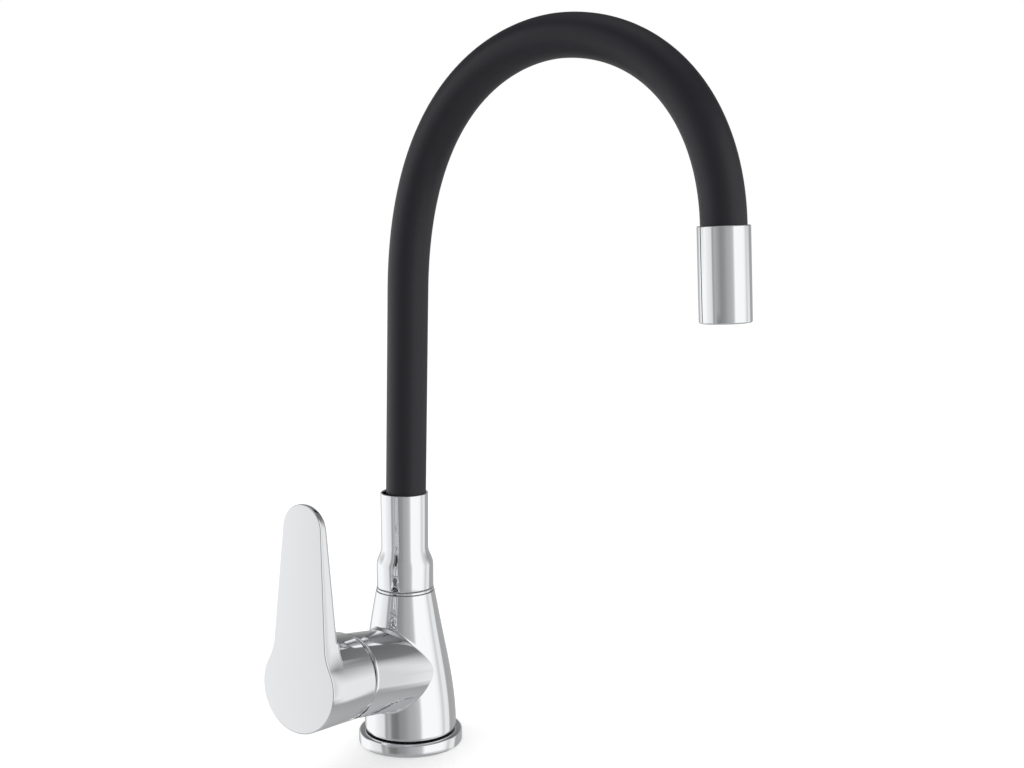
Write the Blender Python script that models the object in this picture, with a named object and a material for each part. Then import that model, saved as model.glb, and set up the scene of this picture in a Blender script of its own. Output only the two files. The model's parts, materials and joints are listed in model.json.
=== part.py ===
"""A one-hole kitchen mixer tap with a bendable spout, modelled as the pieces it comes apart into.

Metres, +Z up. The origin is the centre of the base ring's underside, on the worktop. The spout reaches towards +X
and the lever faces -Y. Each moving piece hangs from an empty on its joint's axis.
"""

import math

import bmesh
import bpy
from mathutils import Matrix, Vector

# Clearances and mesh fineness
GAP = 0.0003
OVERRUN = 0.001
TUCK = 0.00005
WELD = 0.000001
BODY_SIDES = 36
ROUND_SIDES = 24
SMALL_SIDES = 12
SLEEVE_SIDES = 12
LINK_SIDES = 12
HOSE_SIDES = 6
HOLE_SIDES = 6
SMOOTH_ANGLE = math.radians(35)

# Base ring and gasket
RING_RADIUS = 0.0285
RING_HEIGHT = 0.0070
RING_BORE_RADIUS = 0.0205
RING_EDGE = 0.0014
RING_OUTER_WALL = 0.0017
RING_INNER_WALL = 0.0027
GASKET_THICKNESS = 0.0016

# Bell of the body casting
FOOT_RADIUS = 0.0252
FOOT_SEAM_HEIGHT = 0.0014
FOOT_SEAM_DEPTH = 0.0011
FOOT_EDGE = 0.0006
NECK_RADIUS = 0.0160
NECK_EDGE = 0.0007
SPOUT_AXIS_FORWARD = 0.0035
BELL_FOOT_HANDLE = 0.0280
BELL_WAIST_RADIUS = 0.0206
BELL_WAIST_DROP = 0.0250
BELL_LEAN_START = 0.0090
BELL_LEAN_RISE = 0.0640
BELL_RINGS = 10
SPIGOT_LIFT = 0.0006
FILLET_RADIUS = 0.0022
FILLET_ROOT = 0.0010
FILLET_STEPS = 3

# Underside of the body casting
RECESS_RADIUS = 0.0175
RECESS_DEPTH = 0.0140
PORT_RADIUS = 0.0046
PORT_DEPTH = 0.0140
PORT_SPREAD = 0.0075
PORT_FORWARD = 0.0060
STUD_RADIUS = 0.0035
STUD_DEPTH = 0.0140
STUD_BACK = 0.0105

# Cartridge branch: its axis leaves the spout axis forwards and rises
PIVOT_FORWARD = 0.0500
PIVOT_HEIGHT = 0.0513
BRANCH_TILT = math.radians(10.0)
BRANCH_RADIUS = 0.0221
BRANCH_EDGE = 0.0007

# Cartridge, measured outwards from the pivot pin
CARTRIDGE_RADIUS = 0.0172
CARTRIDGE_WALL = 0.0012
CARTRIDGE_SHOULDER = 0.0060
HOUSING_PLATE = 0.0020
HOUSING_COLLAR_WALL = 0.0020
HOUSING_COLLAR_TOP = 0.0019
ROTOR_NECK_RADIUS = 0.0100
ROTOR_NECK_TOP = 0.0030
ROTOR_PLATE = 0.0032
CARRIER_HEIGHT = 0.0075
CARRIER_RADIUS = 0.0118
BALL_SEAT = 0.0028
BALL_RADIUS = 0.0029
STEM_RADIUS = 0.0020
STEM_LENGTH = 0.0050
SEAT_FLOOR = 0.0014
DISC_THICKNESS = 0.0032
CHAMBER_DEPTH = 0.0018
CHAMBER_WIDTH = 0.0150
CHAMBER_LENGTH = 0.0160
FIXED_DISC_THICKNESS = 0.0040
BASE_RAISED = 0.0024
BASE_FLANGE = 0.0036
INLET_SPREAD = 0.0062
INLET_DROP = 0.0050
INLET_RADIUS = 0.0023
OUTLET_RISE = 0.0080
OUTLET_RADIUS = 0.0029
SEAL_WIDTH = 0.0013
SEAL_POCKET = 0.0017
PEG_RADIUS = 0.0014
PEG_LENGTH = 0.0020
PEG_SPREAD = 0.0132
PEG_RISE = 0.0040
PIN_RADIUS = 0.0014
NUT_HEIGHT = 0.0055
NUT_BORE_CLEARANCE = 0.0004
NUT_NOTCH_WIDTH = 0.0030
NUT_NOTCH_DEPTH = 0.0018
NUT_WALL_LEFT = 0.0027
DOME_RADIUS = 0.0205
DOME_WALL = 0.0016
DOME_OPENING_RADIUS = 0.0120
DOME_SPIGOT = 0.0012
DOME_SPIGOT_WALL = 0.0016
DOME_STEPS = 3

# Lever, measured outwards from the pivot pin along the hub's own axis
LEVER_TILT = math.radians(3.5)
FACE_OUT = 0.0373
FACE_RISE = 0.0026
HUB_RIM_RISE = 0.0012
FACE_RADIUS = 0.0235
FACE_EDGE = 0.0010
BACK_EDGE = 0.0016
ARM_TIP = 0.0928
ARM_TIP_RADIUS = 0.0126
ARM_ROOT_HALF_WIDTH = 0.0173
ARM_ROOT_UP = 0.0180
ARM_TIP_THICKNESS = 0.0050
ARM_THICKENING = 0.0900
ARM_SHOULDER_RADIUS = 0.0090
ARM_FILLET = 0.0030
LEVER_DRAFT = 0.0120
LIFT_RANGE = math.radians(20)
HUB_SEAM = 0.0005
HUB_WALL = 0.0013
HUB_EDGE = 0.0005
HUB_PLATE = 0.0110
HUB_TOP_SUNK = 0.0030
BOSS_RADIUS = 0.0085
BOSS_LENGTH = 0.0024
TIP_STEPS = 7
SHOULDER_STEPS = 6
FACE_SIDES = 48
ARM_STEPS = 6
FILLET_ARM_STEPS = 5
EDGE_STEPS = 2

# Lever spindle and the screw that clamps it
SPINDLE_HALF_WIDTH = 0.0035
SPINDLE_SUNK = 0.0070
SPINDLE_EDGE = 0.0004
SCREW_RADIUS = 0.0025
SCREW_LENGTH = 0.0065
SCREW_TILT = math.radians(12)
SCREW_OUT = 0.0290
SCREW_SOCKET_RADIUS = 0.0014
SCREW_SOCKET_DEPTH = 0.0025
SCREW_ACCESS = 0.0340

# Swivel between body and spout
SOCKET_RADIUS = 0.0105
SOCKET_DEPTH = 0.0210
SOCKET_WALL = 0.00295
TAIL_BORE_RADIUS = 0.0030
O_RING_GROOVE_DEPTH = 0.0022
O_RING_LOWER_UP = 0.0100
O_RING_UPPER_UP = 0.0160
RETAINER_UP = 0.0040
RETAINER_HEIGHT = 0.0014
RETAINER_GROOVE_DEPTH = 0.0010
RETAINER_INNER_DEPTH = 0.0012
RETAINER_SPLIT = 0.0030
WASHER_THICKNESS = 0.0012
WASHER_INSET = 0.0008

# Spout ferrule and nipple
FERRULE_HEIGHT = 0.0522
FERRULE_LOWER_WALL = 0.0029
FERRULE_LOWER_HEIGHT = 0.0122
FERRULE_SHOULDER_HEIGHT = 0.0100
FERRULE_SHOULDER_STEPS = 5
FERRULE_WAIST = 0.0002
FERRULE_LIP_WALL = 0.0009
FERRULE_PLAY = 0.0012
FERRULE_EDGE = 0.0006
NIPPLE_HEAD_RADIUS = 0.0122
NIPPLE_HEAD_HEIGHT = 0.0109
GOOSENECK_SEAT = 0.0074
HOSE_SEAT = 0.0080

# Spout route, in the upright plane through the spout axis
RISER_LEAN = math.atan(0.0248)
RISER_LENGTH = 0.1588
APEX_REACH = 0.0966
APEX_RISE = 0.1260
RISING_HANDLE = 0.1026
APEX_HANDLE_BACK = 0.0328
APEX_HANDLE_ON = 0.0464
OUTLET_REACH = 0.0863
OUTLET_FALL = 0.0894
FALLING_HANDLE = 0.0566
OUTLET_TILT = math.radians(2.6)
CURVE_SAMPLES = 160

# Sleeve, gooseneck links and inner hose
SLEEVE_RADIUS = 0.0108
SLEEVE_WALL = 0.0025
SLEEVE_RINGS = 28
HOSE_RADIUS = 0.0036
HOSE_WALL = 0.0011
HOSE_RINGS = 26
LINK_RADIUS = 0.0076
LINK_BORE_RADIUS = 0.0044
LINK_BALL_RADIUS = 0.0064
LINK_BALL_CLEARANCE = 0.0005
LINK_NECK_RADIUS = 0.0052
LINK_MOUTH = 0.0028
LINK_SHOULDER = 0.0078
LINK_MIDDLE_RINGS = 3
LINK_BALL_STEPS = 3
LINK_COUNT = 5
FIRST_HINGE_BELOW_ARCH = 0.0250
LAST_HINGE_BEFORE_OUTLET = 0.0200

# Outlet
OUTLET_WALL = 0.0012
OUTLET_LENGTH = 0.0446
OUTLET_EDGE = 0.0009
SLEEVE_INSERT = 0.0080
FITTING_LENGTH = 0.0180
FITTING_GOOSENECK_SEAT = 0.0080
FITTING_HOSE_SEAT = 0.0050
AERATOR_SEAL_THICKNESS = 0.0020
AERATOR_SEAL_WIDTH = 0.0024
AERATOR_RECESS = 0.0014
AERATOR_WALL = 0.0024
AERATOR_LIP = 0.0012
AERATOR_LIP_WIDTH = 0.0011
CORE_THICKNESS = 0.0050
CORE_HOLE_RADIUS = 0.0014
CORE_HOLE_PITCH = 0.0048
SCREEN_THICKNESS = 0.0010
SCREEN_HOLE_RADIUS = 0.0009
SCREEN_HOLE_PITCH = 0.0028
CORE_HOLE_RINGS = 1
SCREEN_HOLE_RINGS = 2

# Places worked out from the sizes above
RING_TOP = RING_HEIGHT
GASKET_OUTER_RADIUS = RING_RADIUS - RING_OUTER_WALL
GASKET_INNER_RADIUS = RING_BORE_RADIUS + RING_INNER_WALL
FOOT_BOTTOM = RING_TOP + GAP
BELL_FOOT = FOOT_BOTTOM + FOOT_SEAM_HEIGHT
SPOUT_AXIS = Matrix.Translation((0, -SPOUT_AXIS_FORWARD, 0))
PIVOT = Vector((0, -SPOUT_AXIS_FORWARD - PIVOT_FORWARD, PIVOT_HEIGHT))
QUARTER_TURN = math.pi / 2
BRANCH_FRAME = Matrix.Translation(PIVOT) @ Matrix.Rotation(QUARTER_TURN - BRANCH_TILT, 4, "X")
LEVER_FRAME = Matrix.Translation(PIVOT) @ Matrix.Rotation(QUARTER_TURN - LEVER_TILT, 4, "X")
LEVER_OPEN = BRANCH_TILT - LEVER_TILT
BRANCH_ROOT = PIVOT_FORWARD / math.cos(BRANCH_TILT)

HOUSING_INNER_RADIUS = CARTRIDGE_RADIUS - CARTRIDGE_WALL
CAVITY_RADIUS = CARTRIDGE_RADIUS + GAP
SHOULDER_AT = -CARTRIDGE_SHOULDER
PLATE_BOTTOM = SHOULDER_AT - HOUSING_PLATE
ROTOR_TOP = PLATE_BOTTOM - GAP
ROTOR_BOTTOM = ROTOR_TOP - ROTOR_PLATE
CARRIER_TOP = ROTOR_BOTTOM - GAP
BALL_AT = CARRIER_TOP - BALL_SEAT
CARRIER_BOTTOM = CARRIER_TOP - CARRIER_HEIGHT
DISC_TOP = CARRIER_BOTTOM - GAP
DISC_BOTTOM = DISC_TOP - DISC_THICKNESS
FIXED_DISC_TOP = DISC_BOTTOM - GAP
FIXED_DISC_BOTTOM = FIXED_DISC_TOP - FIXED_DISC_THICKNESS
BASE_TOP = FIXED_DISC_BOTTOM - GAP
BASE_FLANGE_TOP = BASE_TOP - BASE_RAISED
HOUSING_BOTTOM = BASE_FLANGE_TOP + GAP
BASE_BOTTOM = BASE_FLANGE_TOP - BASE_FLANGE
CAVITY_FLOOR = BASE_BOTTOM - GAP
DISC_SHIFT = -BALL_AT * math.sin(LEVER_OPEN)
COLLAR_INNER_RADIUS = ROTOR_NECK_RADIUS + GAP
COLLAR_RADIUS = COLLAR_INNER_RADIUS + HOUSING_COLLAR_WALL
NUT_BORE_RADIUS = COLLAR_RADIUS + NUT_BORE_CLEARANCE
NUT_RADIUS = BRANCH_RADIUS - NUT_WALL_LEFT - GAP
NUT_BOTTOM = SHOULDER_AT + GAP
NUT_TOP = NUT_BOTTOM + NUT_HEIGHT
DOME_SPIGOT_BOTTOM = NUT_TOP + GAP
DOME_FOOT = DOME_SPIGOT_BOTTOM + DOME_SPIGOT
BRANCH_RIM = DOME_FOOT - GAP
INLET_PLACES = ((-INLET_SPREAD, -INLET_DROP), (INLET_SPREAD, -INLET_DROP))
OUTLET_PLACE = (0, OUTLET_RISE)

HUB_RIM_RADIUS = FACE_RADIUS - LEVER_DRAFT * FACE_OUT
HUB_RIM_DROP = (HUB_RIM_RADIUS - HUB_RIM_RISE) * math.sin(LEVER_OPEN)
HUB_RIM = (BRANCH_RIM + HUB_SEAM + HUB_RIM_DROP) / math.cos(LEVER_OPEN)
HUB_LEAN = (FACE_RISE - HUB_RIM_RISE) / (FACE_OUT - HUB_RIM)
LEVER_LEAN = Matrix(((1, 0, 0, 0), (0, 1, HUB_LEAN, FACE_RISE - HUB_LEAN * FACE_OUT), (0, 0, 1, 0), (0, 0, 0, 1)))
HUB_FLOOR = FACE_OUT - HUB_PLATE
BOSS_BOTTOM = HUB_FLOOR - BOSS_LENGTH
SPINDLE_TOP = FACE_OUT - SPINDLE_SUNK + GAP + SPINDLE_EDGE
SPINDLE_SQUARE_BOTTOM = BALL_AT + STEM_LENGTH

CAVITY_CORNER = BRANCH_FRAME @ Vector((0, CAVITY_RADIUS, CAVITY_FLOOR))
SOCKET_FLOOR = CAVITY_CORNER.z + SOCKET_WALL
NECK_TOP = SOCKET_FLOOR + SOCKET_DEPTH
TAIL_RADIUS = SOCKET_RADIUS - GAP
TAIL_BOTTOM = SOCKET_FLOOR + GAP
O_RING_SECTION = (O_RING_GROOVE_DEPTH - GAP) / 2
OUTLET_ELBOW = (OUTLET_RISE * math.sin(BRANCH_TILT) - PIVOT_FORWARD) / math.cos(BRANCH_TILT)
WASHER_BOTTOM = NECK_TOP + GAP
WASHER_TOP = WASHER_BOTTOM + WASHER_THICKNESS
FERRULE_FOOT = WASHER_TOP + GAP
FERRULE_TOP = FERRULE_FOOT + FERRULE_HEIGHT
NIPPLE_TOP = FERRULE_FOOT + NIPPLE_HEAD_HEIGHT
FERRULE_LOWER_BORE = NIPPLE_HEAD_RADIUS + GAP
FERRULE_LOWER_RADIUS = FERRULE_LOWER_BORE + FERRULE_LOWER_WALL
FERRULE_MOUTH_RADIUS = SLEEVE_RADIUS + FERRULE_PLAY
FERRULE_UPPER_RADIUS = FERRULE_MOUTH_RADIUS + FERRULE_LIP_WALL
GOOSENECK_FOOT = NIPPLE_TOP - GOOSENECK_SEAT
HOSE_FOOT = GOOSENECK_FOOT - HOSE_SEAT

SLEEVE_INNER_RADIUS = SLEEVE_RADIUS - SLEEVE_WALL
LINK_SOCKET_RADIUS = LINK_BALL_RADIUS + LINK_BALL_CLEARANCE
LINK_SEAT_RADIUS = LINK_RADIUS + GAP
HOSE_SEAT_RADIUS = HOSE_RADIUS + GAP
OUTLET_BORE = SLEEVE_RADIUS + GAP + TUCK
OUTLET_SHELL_RADIUS = OUTLET_BORE + OUTLET_WALL
FITTING_TOP = SLEEVE_INSERT + GAP
FITTING_BOTTOM = FITTING_TOP + FITTING_LENGTH
GOOSENECK_END = FITTING_TOP + FITTING_GOOSENECK_SEAT - GAP
HOSE_END = GOOSENECK_END + GAP + FITTING_HOSE_SEAT - GAP
FITTING_RADIUS = OUTLET_BORE - GAP
AERATOR_SEAL_TOP = FITTING_BOTTOM + GAP
AERATOR_TOP = AERATOR_SEAL_TOP + AERATOR_SEAL_THICKNESS + GAP
AERATOR_BOTTOM = OUTLET_LENGTH - AERATOR_RECESS
AERATOR_BORE = FITTING_RADIUS - AERATOR_WALL
SCREEN_BOTTOM = AERATOR_BOTTOM - AERATOR_LIP - GAP
SCREEN_TOP = SCREEN_BOTTOM - SCREEN_THICKNESS
CORE_BOTTOM = SCREEN_TOP - GAP
CORE_TOP = CORE_BOTTOM - CORE_THICKNESS


# Materials


def material(name, colour, roughness, metallic=0.0):
    made = bpy.data.materials.new(name)
    made.use_nodes = True
    shader = made.node_tree.nodes["Principled BSDF"]
    shader.inputs["Base Color"].default_value = (*colour, 1.0)
    shader.inputs["Roughness"].default_value = roughness
    shader.inputs["Metallic"].default_value = metallic
    return made


def make_materials():
    return {
        "chrome": material("chrome", (0.82, 0.83, 0.85), 0.06, 1.0),
        "brass": material("brass", (0.78, 0.57, 0.28), 0.30, 1.0),
        "steel": material("steel", (0.62, 0.62, 0.63), 0.28, 1.0),
        "silicone": material("silicone", (0.022, 0.022, 0.025), 0.62),
        "rubber": material("rubber", (0.03, 0.03, 0.03), 0.80),
        "ceramic": material("ceramic", (0.86, 0.85, 0.82), 0.25),
        "acetal": material("acetal", (0.75, 0.76, 0.77), 0.45),
        "black_acetal": material("black_acetal", (0.05, 0.05, 0.055), 0.45),
    }


# Mesh helpers


def place(obj, matrix, parent):
    bpy.context.scene.collection.objects.link(obj)
    obj.parent = parent
    bpy.context.view_layer.update()
    obj.matrix_world = matrix
    return obj


def joint_empty(name, matrix, parent=None):
    return place(bpy.data.objects.new(name, None), matrix, parent)


def finished(name, bm, look, matrix, parent):
    """Closes bm into an object at matrix. With no look it is a cutter, which only shows as wires."""
    bmesh.ops.remove_doubles(bm, verts=bm.verts, dist=WELD)
    bmesh.ops.recalc_face_normals(bm, faces=bm.faces)
    mesh = bpy.data.meshes.new(name)
    bm.to_mesh(mesh)
    bm.free()
    mesh.shade_smooth()
    mesh.set_sharp_from_angle(angle=SMOOTH_ANGLE)
    obj = place(bpy.data.objects.new(name, mesh), matrix, parent)
    if look is None:
        obj.hide_render = True
        obj.display_type = "WIRE"
    else:
        mesh.materials.append(look)
    return obj


def turned(name, outline, look=None, matrix=SPOUT_AXIS, parent=None, sides=ROUND_SIDES):
    """Spins a section of (radius, height) points about Z. A section off the axis is closed into a ring."""
    bm = bmesh.new()
    points = [bm.verts.new((radius, 0, height)) for radius, height in outline]
    edges = [bm.edges.new(pair) for pair in zip(points, points[1:])]
    if outline[0][0] > 0:
        edges.append(bm.edges.new((points[-1], points[0])))
    bmesh.ops.spin(
        bm, geom=points + edges, cent=(0, 0, 0), axis=(0, 0, 1), angle=math.tau, steps=sides, use_merge=True
    )
    return finished(name, bm, look, matrix, parent)


def skin(bm, loops, closed):
    """Joins loops of vertices of one count with quads, and the last to the first where closed."""
    pairs = list(zip(loops, loops[1:]))
    if closed:
        pairs.append((loops[-1], loops[0]))
    for low, high in pairs:
        for i in range(len(low)):
            j = (i + 1) % len(low)
            bm.faces.new((low[i], low[j], high[j], high[i]))


def capped_loft(name, loops, look=None, matrix=Matrix.Identity(4), parent=None):
    bm = bmesh.new()
    rings = [[bm.verts.new(point) for point in loop] for loop in loops]
    skin(bm, rings, closed=False)
    bm.faces.new(rings[0])
    bm.faces.new(rings[-1])
    return finished(name, bm, look, matrix, parent)


def circle(radius, height, centre=(0, 0), sides=BODY_SIDES):
    turn = math.tau / sides
    return [
        (centre[0] + radius * math.cos(turn * i), centre[1] + radius * math.sin(turn * i), height)
        for i in range(sides)
    ]


def rod(name, start, end, radius, look=None, matrix=Matrix.Identity(4), parent=None, sides=SMALL_SIDES):
    """A round bar between two points of matrix's frame."""
    start, end = Vector(start), Vector(end)
    along = end - start
    turn = along.to_track_quat("Z", "Y").to_matrix()
    loops = [
        [base + turn @ Vector(point) for point in circle(radius, 0, sides=sides)] for base in (start, end)
    ]
    return capped_loft(name, loops, look, matrix, parent)


def box(name, low, high, look=None, matrix=Matrix.Identity(4), parent=None):
    loops = [
        [(low[0], low[1], z), (high[0], low[1], z), (high[0], high[1], z), (low[0], high[1], z)]
        for z in (low[2], high[2])
    ]
    return capped_loft(name, loops, look, matrix, parent)


def combine(obj, other, operation):
    """One Boolean, and a weld of the doubled corners that it can leave, which would break the next one."""
    change = obj.modifiers.new(other.name, "BOOLEAN")
    change.operation = operation
    change.solver = "EXACT"
    change.object = other
    weld = obj.modifiers.new(f"{other.name}_weld", "WELD")
    weld.merge_threshold = WELD


def cut(obj, *cutters):
    for cutter in cutters:
        combine(obj, cutter, "DIFFERENCE")


def arc(centre, radius, start, end, steps):
    """Points (across, height) on an arc between two angles, both ends included."""
    return [
        (
            centre[0] + radius * math.cos(start + (end - start) * i / steps),
            centre[1] + radius * math.sin(start + (end - start) * i / steps),
        )
        for i in range(steps + 1)
    ]


def hole_pattern(name, radius, pitch, ring_count, low, high, matrix):
    """One cutter of round holes: a middle one and rings of six, twelve and so on."""
    bm = bmesh.new()
    places = [(0, 0)]
    for ring in range(1, ring_count + 1):
        count = 6 * ring
        places += [
            (pitch * ring * math.cos(math.tau * i / count), pitch * ring * math.sin(math.tau * i / count))
            for i in range(count)
        ]
    for centre in places:
        rings = [
            [bm.verts.new(point) for point in circle(radius, height, centre, HOLE_SIDES)] for height in (low, high)
        ]
        skin(bm, rings, closed=False)
        bm.faces.new(rings[0])
        bm.faces.new(rings[1])
    return finished(name, bm, None, matrix, None)


# Base ring and gasket


def make_base(looks):
    turned(
        "base_ring",
        [
            (RING_BORE_RADIUS, 0),
            (GASKET_INNER_RADIUS, 0),
            (GASKET_INNER_RADIUS, GASKET_THICKNESS),
            (GASKET_OUTER_RADIUS, GASKET_THICKNESS),
            (GASKET_OUTER_RADIUS, 0),
            (RING_RADIUS - RING_EDGE / 2, 0),
            (RING_RADIUS, RING_EDGE / 2),
            *arc((RING_RADIUS - RING_EDGE, RING_TOP - RING_EDGE), RING_EDGE, 0, QUARTER_TURN, 2),
            (RING_BORE_RADIUS, RING_TOP),
        ],
        looks["chrome"],
        Matrix.Identity(4),
        sides=BODY_SIDES,
    )
    turned(
        "base_gasket",
        [
            (GASKET_INNER_RADIUS + GAP, 0),
            (GASKET_OUTER_RADIUS - GAP, 0),
            (GASKET_OUTER_RADIUS - GAP, GASKET_THICKNESS - GAP),
            (GASKET_INNER_RADIUS + GAP, GASKET_THICKNESS - GAP),
        ],
        looks["rubber"],
        Matrix.Identity(4),
    )


# Body casting


def bell_point(share):
    """(radius, height) on the bell's side: a cubic curve from an upright foot to the neck."""
    foot = Vector((FOOT_RADIUS, BELL_FOOT + FOOT_EDGE))
    neck = Vector((NECK_RADIUS, NECK_TOP - NECK_EDGE))
    foot_handle = foot + Vector((0, BELL_FOOT_HANDLE))
    waist = Vector((BELL_WAIST_RADIUS, neck.y - BELL_WAIST_DROP))
    left = 1 - share
    return left**3 * foot + 3 * left**2 * share * foot_handle + 3 * left * share**2 * waist + share**3 * neck


def bell_centre(height):
    """How far -Y the bell's axis has leaned at a height, from the base ring's centre to the spout axis."""
    share = min(1.0, max(0.0, (height - BELL_LEAN_START) / BELL_LEAN_RISE))
    return -SPOUT_AXIS_FORWARD * share * share * (3 - 2 * share)


def bell_radius(height):
    low, high = 0.0, 1.0
    for _ in range(40):
        middle = (low + high) / 2
        if bell_point(middle).y < height:
            low = middle
        else:
            high = middle
    return bell_point(low).x


def bell_depth(point):
    """Level distance of a point outside the bell's side."""
    return math.hypot(point.x, point.y - bell_centre(point.z)) - bell_radius(point.z)


def bell_normal(point):
    step = TUCK
    slopes = [
        bell_depth(point + step * way) - bell_depth(point - step * way)
        for way in (Vector((1, 0, 0)), Vector((0, 1, 0)), Vector((0, 0, 1)))
    ]
    return Vector(slopes).normalized(), Vector(slopes).length / (2 * step)


def fillet_section(angle):
    """Section of the fillet between branch and bell, where a ball rolled along the corner touches both."""
    away = BRANCH_FRAME.to_3x3() @ Vector((math.cos(angle), math.sin(angle), 0))
    outwards = BRANCH_FRAME.to_3x3() @ Vector((0, 0, 1))
    low, high = -BRANCH_ROOT, BRANCH_RIM
    for _ in range(40):
        middle = (low + high) / 2
        ball = PIVOT + outwards * middle + away * (BRANCH_RADIUS + FILLET_RADIUS)
        normal, slope = bell_normal(ball)
        if bell_depth(ball) / slope < FILLET_RADIUS:
            low = middle
        else:
            high = middle
    to_branch, to_bell = -away, -normal
    opening = to_branch.angle(to_bell)
    curve = []
    for step in range(FILLET_STEPS + 1):
        share = step / FILLET_STEPS
        way = (
            to_bell * math.sin((1 - share) * opening) + to_branch * math.sin(share * opening)
        ) / math.sin(opening)
        curve.append(ball + way * (FILLET_RADIUS + TUCK))
    corner = (to_bell + to_branch).normalized()
    reach = FILLET_RADIUS / math.cos(opening / 2) + FILLET_ROOT
    return [
        ball + to_bell * (FILLET_RADIUS + FILLET_ROOT),
        *curve,
        ball + to_branch * (FILLET_RADIUS + FILLET_ROOT),
        ball + corner * reach,
    ]


def make_fillet_collar():
    sections = [fillet_section(math.tau * i / BODY_SIDES) for i in range(BODY_SIDES)]
    bm = bmesh.new()
    rings = [[bm.verts.new(point) for point in section] for section in sections]
    skin(bm, rings, closed=True)
    return finished("fillet_collar", bm, None, Matrix.Identity(4), None)


def make_body(looks):
    spigot = RING_BORE_RADIUS - GAP
    seam = FOOT_RADIUS - FOOT_SEAM_DEPTH
    sections = [
        (spigot, SPIGOT_LIFT),
        (spigot, FOOT_BOTTOM),
        (seam, FOOT_BOTTOM),
        (seam, BELL_FOOT),
        (FOOT_RADIUS - FOOT_EDGE, BELL_FOOT),
    ]
    sections += [tuple(bell_point(i / BELL_RINGS)) for i in range(BELL_RINGS + 1)]
    sections += arc((NECK_RADIUS - NECK_EDGE, NECK_TOP - NECK_EDGE), NECK_EDGE, 0, QUARTER_TURN, 3)[1:]
    body = capped_loft(
        "body_casting",
        [circle(radius, height, (0, bell_centre(height))) for radius, height in sections],
        looks["chrome"],
    )
    branch = turned(
        "branch_form",
        [
            *arc((0, -BRANCH_ROOT), BRANCH_RADIUS, -QUARTER_TURN, 0, 6),
            *arc((BRANCH_RADIUS - BRANCH_EDGE, BRANCH_RIM - BRANCH_EDGE), BRANCH_EDGE, 0, QUARTER_TURN, 3),
            (0, BRANCH_RIM),
        ],
        matrix=BRANCH_FRAME,
        sides=BODY_SIDES,
    )
    combine(body, branch, "UNION")
    combine(body, make_fillet_collar(), "UNION")
    cut(body, *cavity_cutters(), *underside_cutters(), swivel_cutter(), *waterway_cutters())


def cavity_cutters():
    nut_relief = NUT_RADIUS + GAP
    cavity = turned(
        "cartridge_cavity",
        [
            (0, CAVITY_FLOOR),
            (CAVITY_RADIUS, CAVITY_FLOOR),
            (CAVITY_RADIUS, NUT_BOTTOM - GAP),
            (nut_relief, NUT_BOTTOM - GAP),
            (nut_relief, BRANCH_RIM + OVERRUN),
            (0, BRANCH_RIM + OVERRUN),
        ],
        matrix=BRANCH_FRAME,
        sides=BODY_SIDES,
    )
    pegs = [
        rod(
            f"peg_hole_{side}",
            (way * PEG_SPREAD, PEG_RISE, CAVITY_FLOOR - PEG_LENGTH - GAP),
            (way * PEG_SPREAD, PEG_RISE, CAVITY_FLOOR + OVERRUN),
            PEG_RADIUS + GAP,
            matrix=BRANCH_FRAME,
        )
        for side, way in (("left", -1), ("right", 1))
    ]
    return [cavity, *pegs]


def underside_cutters():
    recess_top = SPIGOT_LIFT + RECESS_DEPTH
    cutters = [
        turned(
            "inlet_recess",
            [
                (0, SPIGOT_LIFT - OVERRUN),
                (RECESS_RADIUS, SPIGOT_LIFT - OVERRUN),
                (RECESS_RADIUS, recess_top),
                (0, recess_top),
            ],
            matrix=Matrix.Identity(4),
        ),
        rod(
            "stud_hole",
            (0, STUD_BACK, recess_top - OVERRUN),
            (0, STUD_BACK, recess_top + STUD_DEPTH),
            STUD_RADIUS,
        ),
    ]
    for side, way in (("left", -1), ("right", 1)):
        low = (way * PORT_SPREAD, -PORT_FORWARD, recess_top - OVERRUN)
        high = (way * PORT_SPREAD, -PORT_FORWARD, recess_top + PORT_DEPTH)
        cutters.append(rod(f"inlet_port_{side}", low, high, PORT_RADIUS))
    return cutters


def swivel_cutter():
    groove_low = TAIL_BOTTOM + RETAINER_UP - GAP
    groove_high = groove_low + RETAINER_HEIGHT + 2 * GAP
    groove = SOCKET_RADIUS + RETAINER_GROOVE_DEPTH
    return turned(
        "swivel_socket",
        [
            (0, SOCKET_FLOOR),
            (SOCKET_RADIUS, SOCKET_FLOOR),
            (SOCKET_RADIUS, groove_low),
            (groove, groove_low),
            (groove, groove_high),
            (SOCKET_RADIUS, groove_high),
            (SOCKET_RADIUS, NECK_TOP + OVERRUN),
            (0, NECK_TOP + OVERRUN),
        ],
    )


def waterway_cutters():
    """Slanted drillings from the inlet ports to the cartridge, and from the cartridge up to the spout."""
    cutters = []
    port_top = SPIGOT_LIFT + RECESS_DEPTH + PORT_DEPTH
    for side, (across, rise) in zip(("left", "right"), INLET_PLACES):
        way = math.copysign(1, across)
        low = Vector((way * PORT_SPREAD, -PORT_FORWARD, port_top - PORT_RADIUS))
        high = BRANCH_FRAME @ Vector((across, rise, CAVITY_FLOOR + OVERRUN))
        cutters.append(rod(f"inlet_way_{side}", low, high, INLET_RADIUS))
    start = (*OUTLET_PLACE, CAVITY_FLOOR + OVERRUN)
    elbow = (*OUTLET_PLACE, OUTLET_ELBOW)
    cutters.append(rod("outlet_way", start, elbow, OUTLET_RADIUS, matrix=BRANCH_FRAME))
    rise = BRANCH_FRAME @ Vector(elbow) - Vector((0, 0, TAIL_BORE_RADIUS))
    top = Vector((0, -SPOUT_AXIS_FORWARD, SOCKET_FLOOR + OVERRUN))
    cutters.append(rod("spout_way", rise, top, TAIL_BORE_RADIUS))
    return cutters


# Cartridge


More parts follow.
